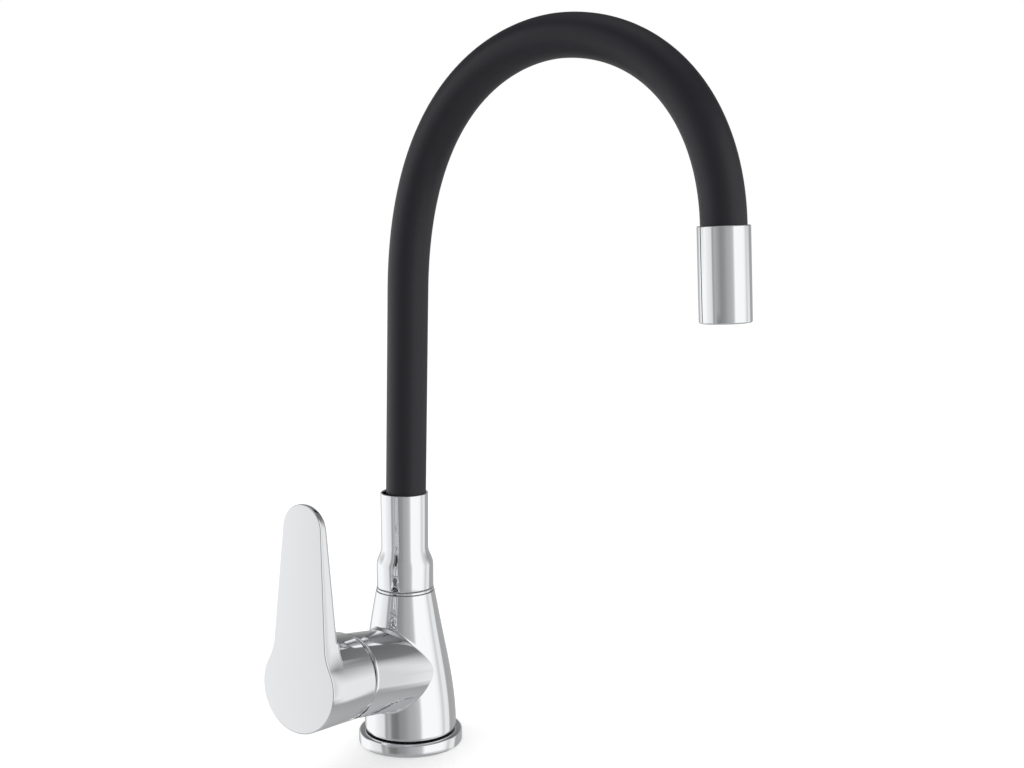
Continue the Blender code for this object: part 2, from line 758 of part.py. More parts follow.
def make_cartridge(looks, rotor_empty, slide_empty):
    turned(
        "cartridge_housing",
        [
            (CARTRIDGE_RADIUS, HOUSING_BOTTOM),
            (CARTRIDGE_RADIUS, SHOULDER_AT),
            (COLLAR_RADIUS, SHOULDER_AT),
            (COLLAR_RADIUS, HOUSING_COLLAR_TOP),
            (COLLAR_INNER_RADIUS, HOUSING_COLLAR_TOP),
            (COLLAR_INNER_RADIUS, PLATE_BOTTOM),
            (HOUSING_INNER_RADIUS, PLATE_BOTTOM),
            (HOUSING_INNER_RADIUS, HOUSING_BOTTOM),
        ],
        looks["acetal"],
        BRANCH_FRAME,
    )
    make_rotor(looks, rotor_empty)
    carrier_matrix = BRANCH_FRAME @ Matrix.Translation((0, DISC_SHIFT, 0))
    seat_radius = BALL_RADIUS + GAP
    turned(
        "disc_carrier",
        [
            (0, CARRIER_BOTTOM),
            (CARRIER_RADIUS, CARRIER_BOTTOM),
            (CARRIER_RADIUS, CARRIER_TOP),
            (seat_radius, CARRIER_TOP),
            (seat_radius, CARRIER_BOTTOM + SEAT_FLOOR),
            (0, CARRIER_BOTTOM + SEAT_FLOOR),
        ],
        looks["black_acetal"],
        carrier_matrix,
        slide_empty,
    )
    disc = turned(
        "moving_disc",
        [(0, DISC_BOTTOM), (CARRIER_RADIUS, DISC_BOTTOM), (CARRIER_RADIUS, DISC_TOP), (0, DISC_TOP)],
        looks["ceramic"],
        carrier_matrix,
        slide_empty,
    )
    half_width, half_length = CHAMBER_WIDTH / 2, CHAMBER_LENGTH / 2
    chamber = box(
        "mixing_chamber",
        (-half_width, -half_length, DISC_BOTTOM - OVERRUN),
        (half_width, half_length, DISC_BOTTOM + CHAMBER_DEPTH),
        matrix=carrier_matrix,
    )
    cut(disc, chamber)
    make_ported_pieces(looks)


def make_rotor(looks, rotor_empty):
    rotor = turned(
        "cartridge_rotor",
        [
            (0, ROTOR_BOTTOM),
            (HOUSING_INNER_RADIUS - GAP, ROTOR_BOTTOM),
            (HOUSING_INNER_RADIUS - GAP, ROTOR_TOP),
            (ROTOR_NECK_RADIUS, ROTOR_TOP),
            (ROTOR_NECK_RADIUS, ROTOR_NECK_TOP),
            (0, ROTOR_NECK_TOP),
        ],
        looks["acetal"],
        BRANCH_FRAME,
        rotor_empty,
    )
    most = max(LEVER_OPEN, LIFT_RANGE - LEVER_OPEN)
    swing = SPINDLE_HALF_WIDTH / math.cos(most) - ROTOR_BOTTOM * math.tan(most) + GAP
    slot = box(
        "spindle_slot",
        (-SPINDLE_HALF_WIDTH - GAP, -swing, ROTOR_BOTTOM - OVERRUN),
        (SPINDLE_HALF_WIDTH + GAP, swing, ROTOR_NECK_TOP + OVERRUN),
        matrix=BRANCH_FRAME,
    )
    reach = ROTOR_NECK_RADIUS + OVERRUN
    pin_hole = rod("pin_hole", (-reach, 0, 0), (reach, 0, 0), PIN_RADIUS + GAP, matrix=BRANCH_FRAME)
    cut(rotor, slot, pin_hole)
    half_pin = ROTOR_NECK_RADIUS - GAP
    rod("pivot_pin", (-half_pin, 0, 0), (half_pin, 0, 0), PIN_RADIUS, looks["steel"], BRANCH_FRAME, rotor_empty)


def make_ported_pieces(looks):
    """Fixed disc, base and seals: the pieces that the three waterways pass straight through."""
    inside = HOUSING_INNER_RADIUS - GAP
    disc = turned(
        "fixed_disc",
        [(0, FIXED_DISC_BOTTOM), (inside, FIXED_DISC_BOTTOM), (inside, FIXED_DISC_TOP), (0, FIXED_DISC_TOP)],
        looks["ceramic"],
        BRANCH_FRAME,
    )
    base = turned(
        "cartridge_base",
        [
            (0, BASE_BOTTOM),
            (CARTRIDGE_RADIUS, BASE_BOTTOM),
            (CARTRIDGE_RADIUS, BASE_FLANGE_TOP),
            (inside, BASE_FLANGE_TOP),
            (inside, BASE_TOP),
            (0, BASE_TOP),
        ],
        looks["acetal"],
        BRANCH_FRAME,
    )
    for side, way in (("left", -1), ("right", 1)):
        peg = rod(
            f"base_peg_{side}",
            (way * PEG_SPREAD, PEG_RISE, BASE_BOTTOM - PEG_LENGTH),
            (way * PEG_SPREAD, PEG_RISE, BASE_BOTTOM + OVERRUN),
            PEG_RADIUS,
            matrix=BRANCH_FRAME,
        )
        combine(base, peg, "UNION")
    ports = (
        ("inlet_seal_left", INLET_PLACES[0], INLET_RADIUS),
        ("inlet_seal_right", INLET_PLACES[1], INLET_RADIUS),
        ("outlet_seal", OUTLET_PLACE, OUTLET_RADIUS),
    )
    for name, (across, rise), radius in ports:
        port_frame = BRANCH_FRAME @ Matrix.Translation((across, rise, 0))
        port = rod(
            f"{name}_port",
            (0, 0, BASE_BOTTOM - OVERRUN),
            (0, 0, FIXED_DISC_TOP + OVERRUN),
            radius,
            matrix=port_frame,
        )
        pocket = rod(
            f"{name}_pocket",
            (0, 0, BASE_BOTTOM - OVERRUN),
            (0, 0, BASE_BOTTOM + SEAL_POCKET),
            radius + SEAL_WIDTH + GAP,
            matrix=port_frame,
        )
        cut(disc, port)
        cut(base, port, pocket)
        seal_top = BASE_BOTTOM + SEAL_POCKET - GAP
        turned(
            name,
            [
                (radius, BASE_BOTTOM),
                (radius + SEAL_WIDTH, BASE_BOTTOM),
                (radius + SEAL_WIDTH, seal_top),
                (radius, seal_top),
            ],
            looks["rubber"],
            port_frame,
            sides=SMALL_SIDES,
        )


def make_nut_and_dome(looks):
    nut = turned(
        "cartridge_nut",
        [
            (NUT_BORE_RADIUS, NUT_BOTTOM),
            (NUT_RADIUS, NUT_BOTTOM),
            (NUT_RADIUS, NUT_TOP),
            (NUT_BORE_RADIUS, NUT_TOP),
        ],
        looks["brass"],
        BRANCH_FRAME,
    )
    half_notch = NUT_NOTCH_WIDTH / 2
    reach = NUT_RADIUS + OVERRUN
    for index in range(3):
        turn = Matrix.Rotation(math.pi * index / 3, 4, "Z")
        notch = box(
            f"nut_notch_{index + 1}",
            (-reach, -half_notch, NUT_TOP - NUT_NOTCH_DEPTH),
            (reach, half_notch, NUT_TOP + OVERRUN),
            matrix=BRANCH_FRAME @ turn,
        )
        cut(nut, notch)
    inner = DOME_RADIUS - DOME_WALL
    spigot = NUT_RADIUS
    outer_arc = arc(
        (0, 0), DOME_RADIUS, math.asin(DOME_FOOT / DOME_RADIUS), math.acos(DOME_OPENING_RADIUS / DOME_RADIUS), DOME_STEPS
    )
    inner_arc = arc(
        (0, 0), inner, math.acos(DOME_OPENING_RADIUS / inner), math.asin(DOME_FOOT / inner), DOME_STEPS
    )
    turned(
        "dome_cap",
        [
            *outer_arc,
            *inner_arc[:-1],
            (spigot - DOME_SPIGOT_WALL, DOME_FOOT),
            (spigot - DOME_SPIGOT_WALL, DOME_SPIGOT_BOTTOM),
            (spigot, DOME_SPIGOT_BOTTOM),
            (spigot, DOME_FOOT),
        ],
        looks["chrome"],
        BRANCH_FRAME,
        sides=BODY_SIDES,
    )


# Lever


def lever_outline():
    """Right half of the face, from the arm's tip down to the circle's foot, as ((x, up), (normal x, normal up))."""
    tip_centre = Vector((0, ARM_TIP - ARM_TIP_RADIUS))
    root = Vector((ARM_ROOT_HALF_WIDTH, ARM_ROOT_UP))
    tip_to_root = root - tip_centre
    side_angle = math.atan2(tip_to_root.y, tip_to_root.x) + math.acos(ARM_TIP_RADIUS / tip_to_root.length)
    side_normal = Vector((math.cos(side_angle), math.sin(side_angle)))
    side_down = Vector((side_normal.y, -side_normal.x))
    tip_end = tip_centre + side_normal * ARM_TIP_RADIUS
    # The concave shoulder touches the arm's side and the face circle
    offset = tip_end + side_normal * ARM_SHOULDER_RADIUS
    reach = FACE_RADIUS + ARM_SHOULDER_RADIUS
    middle = -offset.dot(side_down)
    down = middle - math.sqrt(reach**2 - (offset + side_down * middle).length_squared)
    shoulder_centre = offset + side_down * down
    face_angle = math.atan2(shoulder_centre.y, shoulder_centre.x)
    points = []
    for i in range(TIP_STEPS + 1):
        angle = QUARTER_TURN + (side_angle - QUARTER_TURN) * i / TIP_STEPS
        normal = Vector((math.cos(angle), math.sin(angle)))
        points.append((tip_centre + normal * ARM_TIP_RADIUS, normal))
    for i in range(1, ARM_STEPS):
        points.append((tip_end + side_down * (down * i / ARM_STEPS), side_normal))
    inner_start = side_angle + math.pi
    inner_end = face_angle + math.pi
    for i in range(SHOULDER_STEPS + 1):
        angle = inner_start + (inner_end - inner_start) * i / SHOULDER_STEPS
        way = Vector((math.cos(angle), math.sin(angle)))
        points.append((shoulder_centre + way * ARM_SHOULDER_RADIUS, -way))
    # The same corners as the hub's, so that the hub stays inside the face's edge all round
    corner = math.tau / FACE_SIDES
    for i in range(math.ceil(face_angle / corner) - 1, -FACE_SIDES // 4 - 1, -1):
        normal = Vector((math.cos(corner * i), math.sin(corner * i)))
        points.append((normal * FACE_RADIUS, normal))
    return with_fillet_rows(points)


def with_fillet_rows(points):
    """Adds rows where the arm's back curves into the hub, so that the fillet is round."""
    top = FACE_RADIUS + ARM_FILLET
    rows = [top - ARM_FILLET * math.sin(QUARTER_TURN * i / FILLET_ARM_STEPS) for i in range(FILLET_ARM_STEPS + 1)]
    dense = [points[0]]
    for (a, normal_a), (b, normal_b) in zip(points, points[1:]):
        for row in rows:
            if a.y - WELD > row > b.y + WELD:
                share = (a.y - row) / (a.y - b.y)
                dense.append((a.lerp(b, share), normal_a.lerp(normal_b, share).normalized()))
        dense.append((b, normal_b))
    return dense


def arm_thickness(up):
    thickness = ARM_TIP_THICKNESS + ARM_THICKENING * (ARM_TIP - up)
    drop = min(ARM_FILLET, max(0.0, FACE_RADIUS + ARM_FILLET - up))
    return thickness + ARM_FILLET - math.sqrt(ARM_FILLET**2 - drop**2)


def lever_loops():
    """Loops round the lever's plate from its face to its back, each as points of the lever's frame."""
    outline = lever_outline()
    front = [(FACE_EDGE * (1 - math.sin(turn)), FACE_EDGE * (1 - math.cos(turn))) for turn in quarter_turns(EDGE_STEPS)]
    back = [(BACK_EDGE * (1 - math.cos(turn)), BACK_EDGE * (1 - math.sin(turn))) for turn in quarter_turns(EDGE_STEPS)]
    loops = []
    for inset, depth in front:
        loops.append(mirrored(outline, lambda up, inset=inset, depth=depth: (inset, depth)))
    for inset, short in back:
        loops.append(
            mirrored(outline, lambda up, inset=inset, short=short: (inset, arm_thickness(up) - short))
        )
    return loops


def quarter_turns(steps):
    return [QUARTER_TURN * i / steps for i in range(steps + 1)]


def mirrored(outline, rule):
    """Right half, then left half back up, with each point drawn in by the rule's inset and the casting's draft."""
    right = []
    for point, normal in outline:
        inset, depth = rule(point.y)
        moved = point - normal * (inset + LEVER_DRAFT * depth)
        right.append(Vector((max(0.0, moved.x), moved.y, FACE_OUT - depth)))
    right[0].x = right[-1].x = 0.0
    left = [Vector((-point.x, point.y, point.z)) for point in reversed(right[1:-1])]
    return right + left


def make_plate(looks, lever_empty):
    bm = bmesh.new()
    loops = [[bm.verts.new(point) for point in loop] for loop in lever_loops()]
    skin(bm, loops, closed=False)
    for loop in (loops[0], loops[-1]):
        count = len(loop)
        half = count // 2
        for i in range(half):
            right, below = loop[i], loop[i + 1]
            left, left_below = loop[-i % count], loop[-(i + 1) % count]
            corners = dict.fromkeys((right, below, left_below, left))
            bm.faces.new(tuple(corners))
    bmesh.ops.transform(bm, matrix=LEVER_LEAN, verts=bm.verts)
    return finished("lever_handle", bm, looks["chrome"], LEVER_FRAME, lever_empty)


def make_lever(looks, lever_empty):
    lever = make_plate(looks, lever_empty)
    hub_sunk = FACE_OUT - HUB_TOP_SUNK
    hub = turned(
        "hub_form",
        [
            (0, HUB_RIM),
            (hub_radius(HUB_RIM) - HUB_EDGE, HUB_RIM),
            (hub_radius(HUB_RIM + HUB_EDGE), HUB_RIM + HUB_EDGE),
            (hub_radius(hub_sunk), hub_sunk),
            (0, hub_sunk),
        ],
        matrix=LEVER_FRAME,
        sides=FACE_SIDES,
    )
    hub.data.transform(LEVER_LEAN)
    combine(lever, hub, "UNION")
    cavity_radius = hub_radius(HUB_RIM) - HUB_WALL
    cavity = turned(
        "hub_cavity",
        [
            (0, BOSS_BOTTOM),
            (BOSS_RADIUS, BOSS_BOTTOM),
            (BOSS_RADIUS, HUB_FLOOR),
            (cavity_radius, HUB_FLOOR),
            (cavity_radius, HUB_RIM - OVERRUN),
            (0, HUB_RIM - OVERRUN),
        ],
        matrix=LEVER_FRAME,
        sides=BODY_SIDES,
    )
    cavity.data.transform(LEVER_LEAN)
    half_hole = SPINDLE_HALF_WIDTH + GAP
    square = box(
        "spindle_hole",
        (-half_hole, -half_hole, BOSS_BOTTOM - OVERRUN),
        (half_hole, half_hole, SPINDLE_TOP + GAP),
        matrix=LEVER_FRAME,
    )
    screw_frame = LEVER_FRAME @ Matrix.Translation((0, 0, SCREW_OUT)) @ Matrix.Rotation(math.pi, 4, "Z")
    screw_frame = screw_frame @ Matrix.Rotation(-SCREW_TILT, 4, "X")
    screw_hole = rod(
        "screw_hole", (0, SPINDLE_HALF_WIDTH, 0), (0, SCREW_ACCESS, 0), SCREW_RADIUS + GAP, matrix=screw_frame
    )
    cut(lever, cavity, square, screw_hole)
    make_spindle(looks, lever_empty)
    make_screw(looks, lever_empty, screw_frame)


def hub_radius(out):
    return FACE_RADIUS - LEVER_DRAFT * (FACE_OUT - out) - TUCK


def make_spindle(looks, lever_empty):
    spindle = box(
        "lever_spindle",
        (-SPINDLE_HALF_WIDTH, -SPINDLE_HALF_WIDTH, SPINDLE_SQUARE_BOTTOM),
        (SPINDLE_HALF_WIDTH, SPINDLE_HALF_WIDTH, SPINDLE_TOP),
        looks["brass"],
        LEVER_FRAME,
        lever_empty,
    )
    stem = turned(
        "spindle_stem",
        [
            *arc((0, BALL_AT), BALL_RADIUS, -QUARTER_TURN, math.acos(STEM_RADIUS / BALL_RADIUS), 7),
            (STEM_RADIUS, SPINDLE_SQUARE_BOTTOM + OVERRUN),
            (0, SPINDLE_SQUARE_BOTTOM + OVERRUN),
        ],
        matrix=LEVER_FRAME,
        sides=SMALL_SIDES,
    )
    combine(spindle, stem, "UNION")
    reach = SPINDLE_HALF_WIDTH + OVERRUN
    cut(spindle, rod("spindle_pin_hole", (-reach, 0, 0), (reach, 0, 0), PIN_RADIUS + GAP, matrix=LEVER_FRAME))


def make_screw(looks, lever_empty, screw_frame):
    tilt_room = SCREW_RADIUS * math.tan(SCREW_TILT) + GAP
    start = SPINDLE_HALF_WIDTH / math.cos(SCREW_TILT) + tilt_room
    screw = rod(
        "grub_screw",
        (0, start, 0),
        (0, start + SCREW_LENGTH, 0),
        SCREW_RADIUS,
        looks["steel"],
        screw_frame,
        lever_empty,
    )
    socket = rod(
        "screw_socket",
        (0, start + SCREW_LENGTH - SCREW_SOCKET_DEPTH, 0),
        (0, start + SCREW_LENGTH + OVERRUN, 0),
        SCREW_SOCKET_RADIUS,
        matrix=screw_frame,
        sides=6,
    )
    cut(screw, socket)


# Swivel: nipple, its rings, and the ferrule over it


def make_swivel(looks, spout_empty):
    groove = TAIL_RADIUS - O_RING_GROOVE_DEPTH
    clip_groove = TAIL_RADIUS - RETAINER_INNER_DEPTH - GAP
    clip_low = TAIL_BOTTOM + RETAINER_UP - GAP
    clip_high = clip_low + RETAINER_HEIGHT + 2 * GAP
    half_ring = O_RING_SECTION + GAP
    outline = [(TAIL_BORE_RADIUS, TAIL_BOTTOM), (TAIL_RADIUS, TAIL_BOTTOM)]
    for low, high, depth in (
        (clip_low, clip_high, clip_groove),
        (TAIL_BOTTOM + O_RING_LOWER_UP - half_ring, TAIL_BOTTOM + O_RING_LOWER_UP + half_ring, groove),
        (TAIL_BOTTOM + O_RING_UPPER_UP - half_ring, TAIL_BOTTOM + O_RING_UPPER_UP + half_ring, groove),
    ):
        outline += [(TAIL_RADIUS, low), (depth, low), (depth, high), (TAIL_RADIUS, high)]
    outline += [
        (TAIL_RADIUS, FERRULE_FOOT),
        (NIPPLE_HEAD_RADIUS, FERRULE_FOOT),
        (NIPPLE_HEAD_RADIUS, NIPPLE_TOP),
        (LINK_SEAT_RADIUS, NIPPLE_TOP),
        (LINK_SEAT_RADIUS, GOOSENECK_FOOT),
        (HOSE_SEAT_RADIUS, GOOSENECK_FOOT),
        (HOSE_SEAT_RADIUS, HOSE_FOOT),
        (TAIL_BORE_RADIUS, HOSE_FOOT),
    ]
    turned("spout_nipple", outline, looks["brass"], parent=spout_empty)
    ring_radius = TAIL_RADIUS - O_RING_SECTION
    for name, up in (("nipple_o_ring_lower", O_RING_LOWER_UP), ("nipple_o_ring_upper", O_RING_UPPER_UP)):
        section = arc((ring_radius, TAIL_BOTTOM + up), O_RING_SECTION, 0, math.tau, 6)[:-1]
        turned(name, section, looks["rubber"], parent=spout_empty)
    make_retaining_ring(looks, spout_empty)
    turned(
        "swivel_washer",
        [
            (SOCKET_RADIUS, WASHER_BOTTOM),
            (NECK_RADIUS - WASHER_INSET, WASHER_BOTTOM),
            (NECK_RADIUS - WASHER_INSET, WASHER_TOP),
            (SOCKET_RADIUS, WASHER_TOP),
        ],
        looks["acetal"],
        parent=spout_empty,
        sides=BODY_SIDES,
    )
    turned("spout_ferrule", ferrule_outline(), looks["chrome"], parent=spout_empty, sides=BODY_SIDES)


def make_retaining_ring(looks, spout_empty):
    low = TAIL_BOTTOM + RETAINER_UP
    high = low + RETAINER_HEIGHT
    inner = TAIL_RADIUS - RETAINER_INNER_DEPTH
    outer = SOCKET_RADIUS + RETAINER_GROOVE_DEPTH - GAP
    ring = turned(
        "retaining_ring",
        [(inner, low), (outer, low), (outer, high), (inner, high)],
        looks["steel"],
        parent=spout_empty,
    )
    half_split = RETAINER_SPLIT / 2
    split = box(
        "ring_split",
        (0, -half_split, low - OVERRUN),
        (outer + OVERRUN, half_split, high + OVERRUN),
        matrix=SPOUT_AXIS,
    )
    cut(ring, split)


def ferrule_outline():
    """Section of the ferrule: a wide foot, an S-shaped shoulder, a slim upper part and a rounded lip."""
    shoulder_low = FERRULE_FOOT + FERRULE_LOWER_HEIGHT
    shoulder_high = shoulder_low + FERRULE_SHOULDER_HEIGHT
    waist = FERRULE_UPPER_RADIUS - FERRULE_WAIST
    outline = [
        (FERRULE_LOWER_BORE, FERRULE_FOOT),
        (FERRULE_LOWER_RADIUS - FERRULE_EDGE, FERRULE_FOOT),
        (FERRULE_LOWER_RADIUS, FERRULE_FOOT + FERRULE_EDGE),
    ]
    for i in range(FERRULE_SHOULDER_STEPS + 1):
        share = i / FERRULE_SHOULDER_STEPS
        ease = (1 - math.cos(math.pi * share)) / 2
        outline.append(
            (
                FERRULE_LOWER_RADIUS + (waist - FERRULE_LOWER_RADIUS) * ease,
                shoulder_low + (shoulder_high - shoulder_low) * share,
            )
        )
    lip = FERRULE_LIP_WALL / 2
    lip_centre = (FERRULE_MOUTH_RADIUS + lip, FERRULE_TOP - lip)
    outline += arc(lip_centre, lip, 0, math.pi, 4)
    outline += [(FERRULE_MOUTH_RADIUS, NIPPLE_TOP), (FERRULE_LOWER_BORE, NIPPLE_TOP)]
    return outline


# Spout route


def bezier(points, share):
    left = 1 - share
    weights = (left**3, 3 * left**2 * share, 3 * left * share**2, share**3)
    return sum((point * weight for point, weight in zip(points, weights)), Vector((0, 0, 0)))


class Route:
    """The spout's centre line, measured along from the foot of the inner hose, in the plane of the spout axis."""

    def __init__(self):
        foot = Vector((0, -SPOUT_AXIS_FORWARD, HOSE_FOOT))
        bend = Vector((0, -SPOUT_AXIS_FORWARD, GOOSENECK_FOOT))
        riser = Vector((math.sin(RISER_LEAN), 0, math.cos(RISER_LEAN)))
        arch = bend + riser * RISER_LENGTH
        apex = arch + Vector((APEX_REACH, 0, APEX_RISE))
        mouth = apex + Vector((OUTLET_REACH, 0, -OUTLET_FALL))
        self.outwards = Vector((math.sin(OUTLET_TILT), 0, -math.cos(OUTLET_TILT)))
        self.mouth = mouth
        rising = (arch, arch + riser * RISING_HANDLE, apex - Vector((APEX_HANDLE_BACK, 0, 0)), apex)
        falling = (apex, apex + Vector((APEX_HANDLE_ON, 0, 0)), mouth - self.outwards * FALLING_HANDLE, mouth)
        shares = [i / CURVE_SAMPLES for i in range(CURVE_SAMPLES + 1)]
        self.points = [foot, bend, *(bend + riser * (RISER_LENGTH * share) for share in shares[1:])]
        self.arch_starts = len(self.points) - 1
        self.points += [bezier(rising, share) for share in shares[1:]]
        self.points += [bezier(falling, share) for share in shares[1:]]
        self.mouth_at = len(self.points) - 1
        self.points.append(mouth + self.outwards * OUTLET_LENGTH)
        self.lengths = [0.0]
        for a, b in zip(self.points, self.points[1:]):
            self.lengths.append(self.lengths[-1] + (b - a).length)
        self.arch = self.lengths[self.arch_starts]
        self.end = self.lengths[self.mouth_at]

    def at(self, length):
        """The point at a length along, and the direction there."""
        index = 1
        while index < len(self.points) - 1 and self.lengths[index] < length:
            index += 1
        a, b = self.points[index - 1], self.points[index]
        share = (length - self.lengths[index - 1]) / (self.lengths[index] - self.lengths[index - 1])
        before = self.points[max(0, index - 2)]
        after = self.points[min(len(self.points) - 1, index + 1)]
        start = (b - before).normalized()
        end = (after - a).normalized()
        return a.lerp(b, share), start.lerp(end, min(1.0, max(0.0, share))).normalized()


def ring_round(point, along, radius, sides):
    side = Vector((0, 1, 0))
    up = side.cross(along).normalized()
    return [
        point + (up * math.cos(math.tau * i / sides) + side * math.sin(math.tau * i / sides)) * radius
        for i in range(sides)
    ]


def swept_ring(name, stations, look, origin, parent, sides):
    """A tube whose closed section is a list of (centre, direction, radius) stations."""
    bm = bmesh.new()
    rings = [
        [bm.verts.new(corner - origin) for corner in ring_round(point, along, radius, sides)]
        for point, along, radius in stations
    ]
    skin(bm, rings, closed=True)
    return finished(name, bm, look, Matrix.Translation(origin), parent)


def plain_tube(name, route, start, end, radius, bore, rings, look, parent, sides):
    """A tube along the route, with its rings spread over the arch and none on the straight riser."""
    steps = [start, *(route.arch + (end - route.arch) * i / rings for i in range(rings + 1))]
    outside = [(*route.at(step), radius) for step in steps]
    inside = [(*route.at(step), bore) for step in reversed(steps)]
    swept_ring(name, outside + inside, look, parent.matrix_world.translation, parent, sides)


# Gooseneck: stiff links joined by a hollow ball at the end of each in a cup at the start of the next


def link_stations(route, start, end, has_cup, has_ball):
    """Sections of one link. Near a hinge they lie on the straight line through it, so ball and cup stay round."""

    def on_line(hinge, offset):
        point, along = route.at(hinge)
        return point + along * offset, along

    outside, inside = [], []
    body_start, body_end = start, end
    if has_cup:
        mouth = math.sqrt(LINK_SOCKET_RADIUS**2 - LINK_MOUTH**2)
        outside.append((*on_line(start, -LINK_MOUTH), LINK_RADIUS))
        low = math.asin(-LINK_MOUTH / LINK_SOCKET_RADIUS)
        high = math.acos(LINK_BORE_RADIUS / LINK_SOCKET_RADIUS)
        for radius, offset in arc((0, 0), LINK_SOCKET_RADIUS, high, low, LINK_BALL_STEPS):
            inside.append((*on_line(start, offset), min(radius, max(mouth, radius))))
        body_start = start + LINK_SHOULDER
        outside.append((*on_line(start, LINK_MOUTH), LINK_RADIUS))
    if has_ball:
        body_end = end - LINK_SHOULDER
    steps = [body_start + (body_end - body_start) * i / LINK_MIDDLE_RINGS for i in range(LINK_MIDDLE_RINGS + 1)]
    outside += [(*route.at(step), LINK_RADIUS) for step in steps]
    bore = [(*route.at(step), LINK_BORE_RADIUS) for step in reversed(steps)]
    if has_ball:
        slope = LINK_RADIUS - LINK_NECK_RADIUS
        neck = math.sqrt(LINK_BALL_RADIUS**2 - LINK_NECK_RADIUS**2)
        outside.append((*on_line(end, slope - LINK_SHOULDER), LINK_NECK_RADIUS))
        low = -math.asin(neck / LINK_BALL_RADIUS)
        high = math.acos((LINK_BORE_RADIUS + TUCK) / LINK_BALL_RADIUS)
        for radius, offset in arc((0, 0), LINK_BALL_RADIUS, low, high, LINK_BALL_STEPS):
            outside.append((*on_line(end, offset), radius))
        bore.insert(0, (*on_line(end, LINK_BALL_RADIUS * math.sin(high)), LINK_BORE_RADIUS))
    return outside + bore + inside


def make_gooseneck(looks, route, spout_empty):
    """Returns the last hinge's empty, which carries the outlet."""
    first = route.arch - FIRST_HINGE_BELOW_ARCH
    last = route.end - LAST_HINGE_BEFORE_OUTLET
    hinges = [first + (last - first) * i / LINK_COUNT for i in range(LINK_COUNT + 1)]
    foot = GOOSENECK_FOOT - HOSE_FOOT + GAP
    swept_ring(
        "gooseneck_riser",
        link_stations(route, foot, hinges[0], False, True),
        looks["steel"],
        spout_empty.matrix_world.translation,
        spout_empty,
        LINK_SIDES,
    )
    carrier = spout_empty
    for index, (start, end) in enumerate(zip(hinges, hinges[1:]), 1):
        origin = route.at(start)[0]
        carrier = joint_empty(f"spout_bend_{index}_axis", Matrix.Translation(origin), carrier)
        stations = link_stations(route, start, end, True, True)
        swept_ring(f"gooseneck_link_{index}", stations, looks["steel"], origin, carrier, LINK_SIDES)
    origin = route.at(hinges[-1])[0]
    outlet_empty = joint_empty(f"spout_bend_{LINK_COUNT + 1}_axis", Matrix.Translation(origin), carrier)
    stations = link_stations(route, hinges[-1], route.end + GOOSENECK_END, True, False)
    swept_ring("gooseneck_tail", stations, looks["steel"], origin, outlet_empty, LINK_SIDES)
    print("bend hinges, mm:", [tuple(round(v * 1000, 3) for v in route.at(at)[0]) for at in hinges])
    return outlet_empty


def make_sleeve_and_hose(looks, route, spout_empty):
    sleeve_foot = NIPPLE_TOP - HOSE_FOOT + GAP
    plain_tube(
        "silicone_sleeve",
        route,
        sleeve_foot,
        route.end + SLEEVE_INSERT,
        SLEEVE_RADIUS,
        SLEEVE_INNER_RADIUS,
        SLEEVE_RINGS,
        looks["silicone"],
        spout_empty,
        SLEEVE_SIDES,
    )
    plain_tube(
        "inner_hose",
        route,
        GAP,
        route.end + HOSE_END,
        HOSE_RADIUS,
        HOSE_RADIUS - HOSE_WALL,
        HOSE_RINGS,
        looks["rubber"],
        spout_empty,
        HOSE_SIDES,
    )


# Outlet, measured from its top along its own axis


def make_outlet(looks, route, outlet_empty):
    frame = Matrix.Translation(route.mouth) @ Matrix.Rotation(math.pi - OUTLET_TILT, 4, "Y")
    edge = OUTLET_WALL / 2
    turned(
        "outlet_shell",
        [
            (OUTLET_BORE, 0),
            (OUTLET_SHELL_RADIUS - edge, 0),
            (OUTLET_SHELL_RADIUS, edge),
            *arc(
                (OUTLET_SHELL_RADIUS - OUTLET_EDGE, OUTLET_LENGTH - OUTLET_EDGE), OUTLET_EDGE, 0, QUARTER_TURN, 3
            ),
            (OUTLET_BORE, OUTLET_LENGTH),
        ],
        looks["chrome"],
        frame,
        outlet_empty,
        BODY_SIDES,
    )
    gooseneck_floor = FITTING_TOP + FITTING_GOOSENECK_SEAT
    hose_floor = gooseneck_floor + FITTING_HOSE_SEAT
    turned(
        "hose_end_fitting",
        [
            (LINK_SEAT_RADIUS, FITTING_TOP),
            (FITTING_RADIUS, FITTING_TOP),
            (FITTING_RADIUS, FITTING_BOTTOM),
            (TAIL_BORE_RADIUS, FITTING_BOTTOM),
            (TAIL_BORE_RADIUS, hose_floor),
            (HOSE_SEAT_RADIUS, hose_floor),
            (HOSE_SEAT_RADIUS, gooseneck_floor),
            (LINK_SEAT_RADIUS, gooseneck_floor),
        ],
        looks["brass"],
        frame,
        outlet_empty,
    )
    make_aerator(looks, frame, outlet_empty)


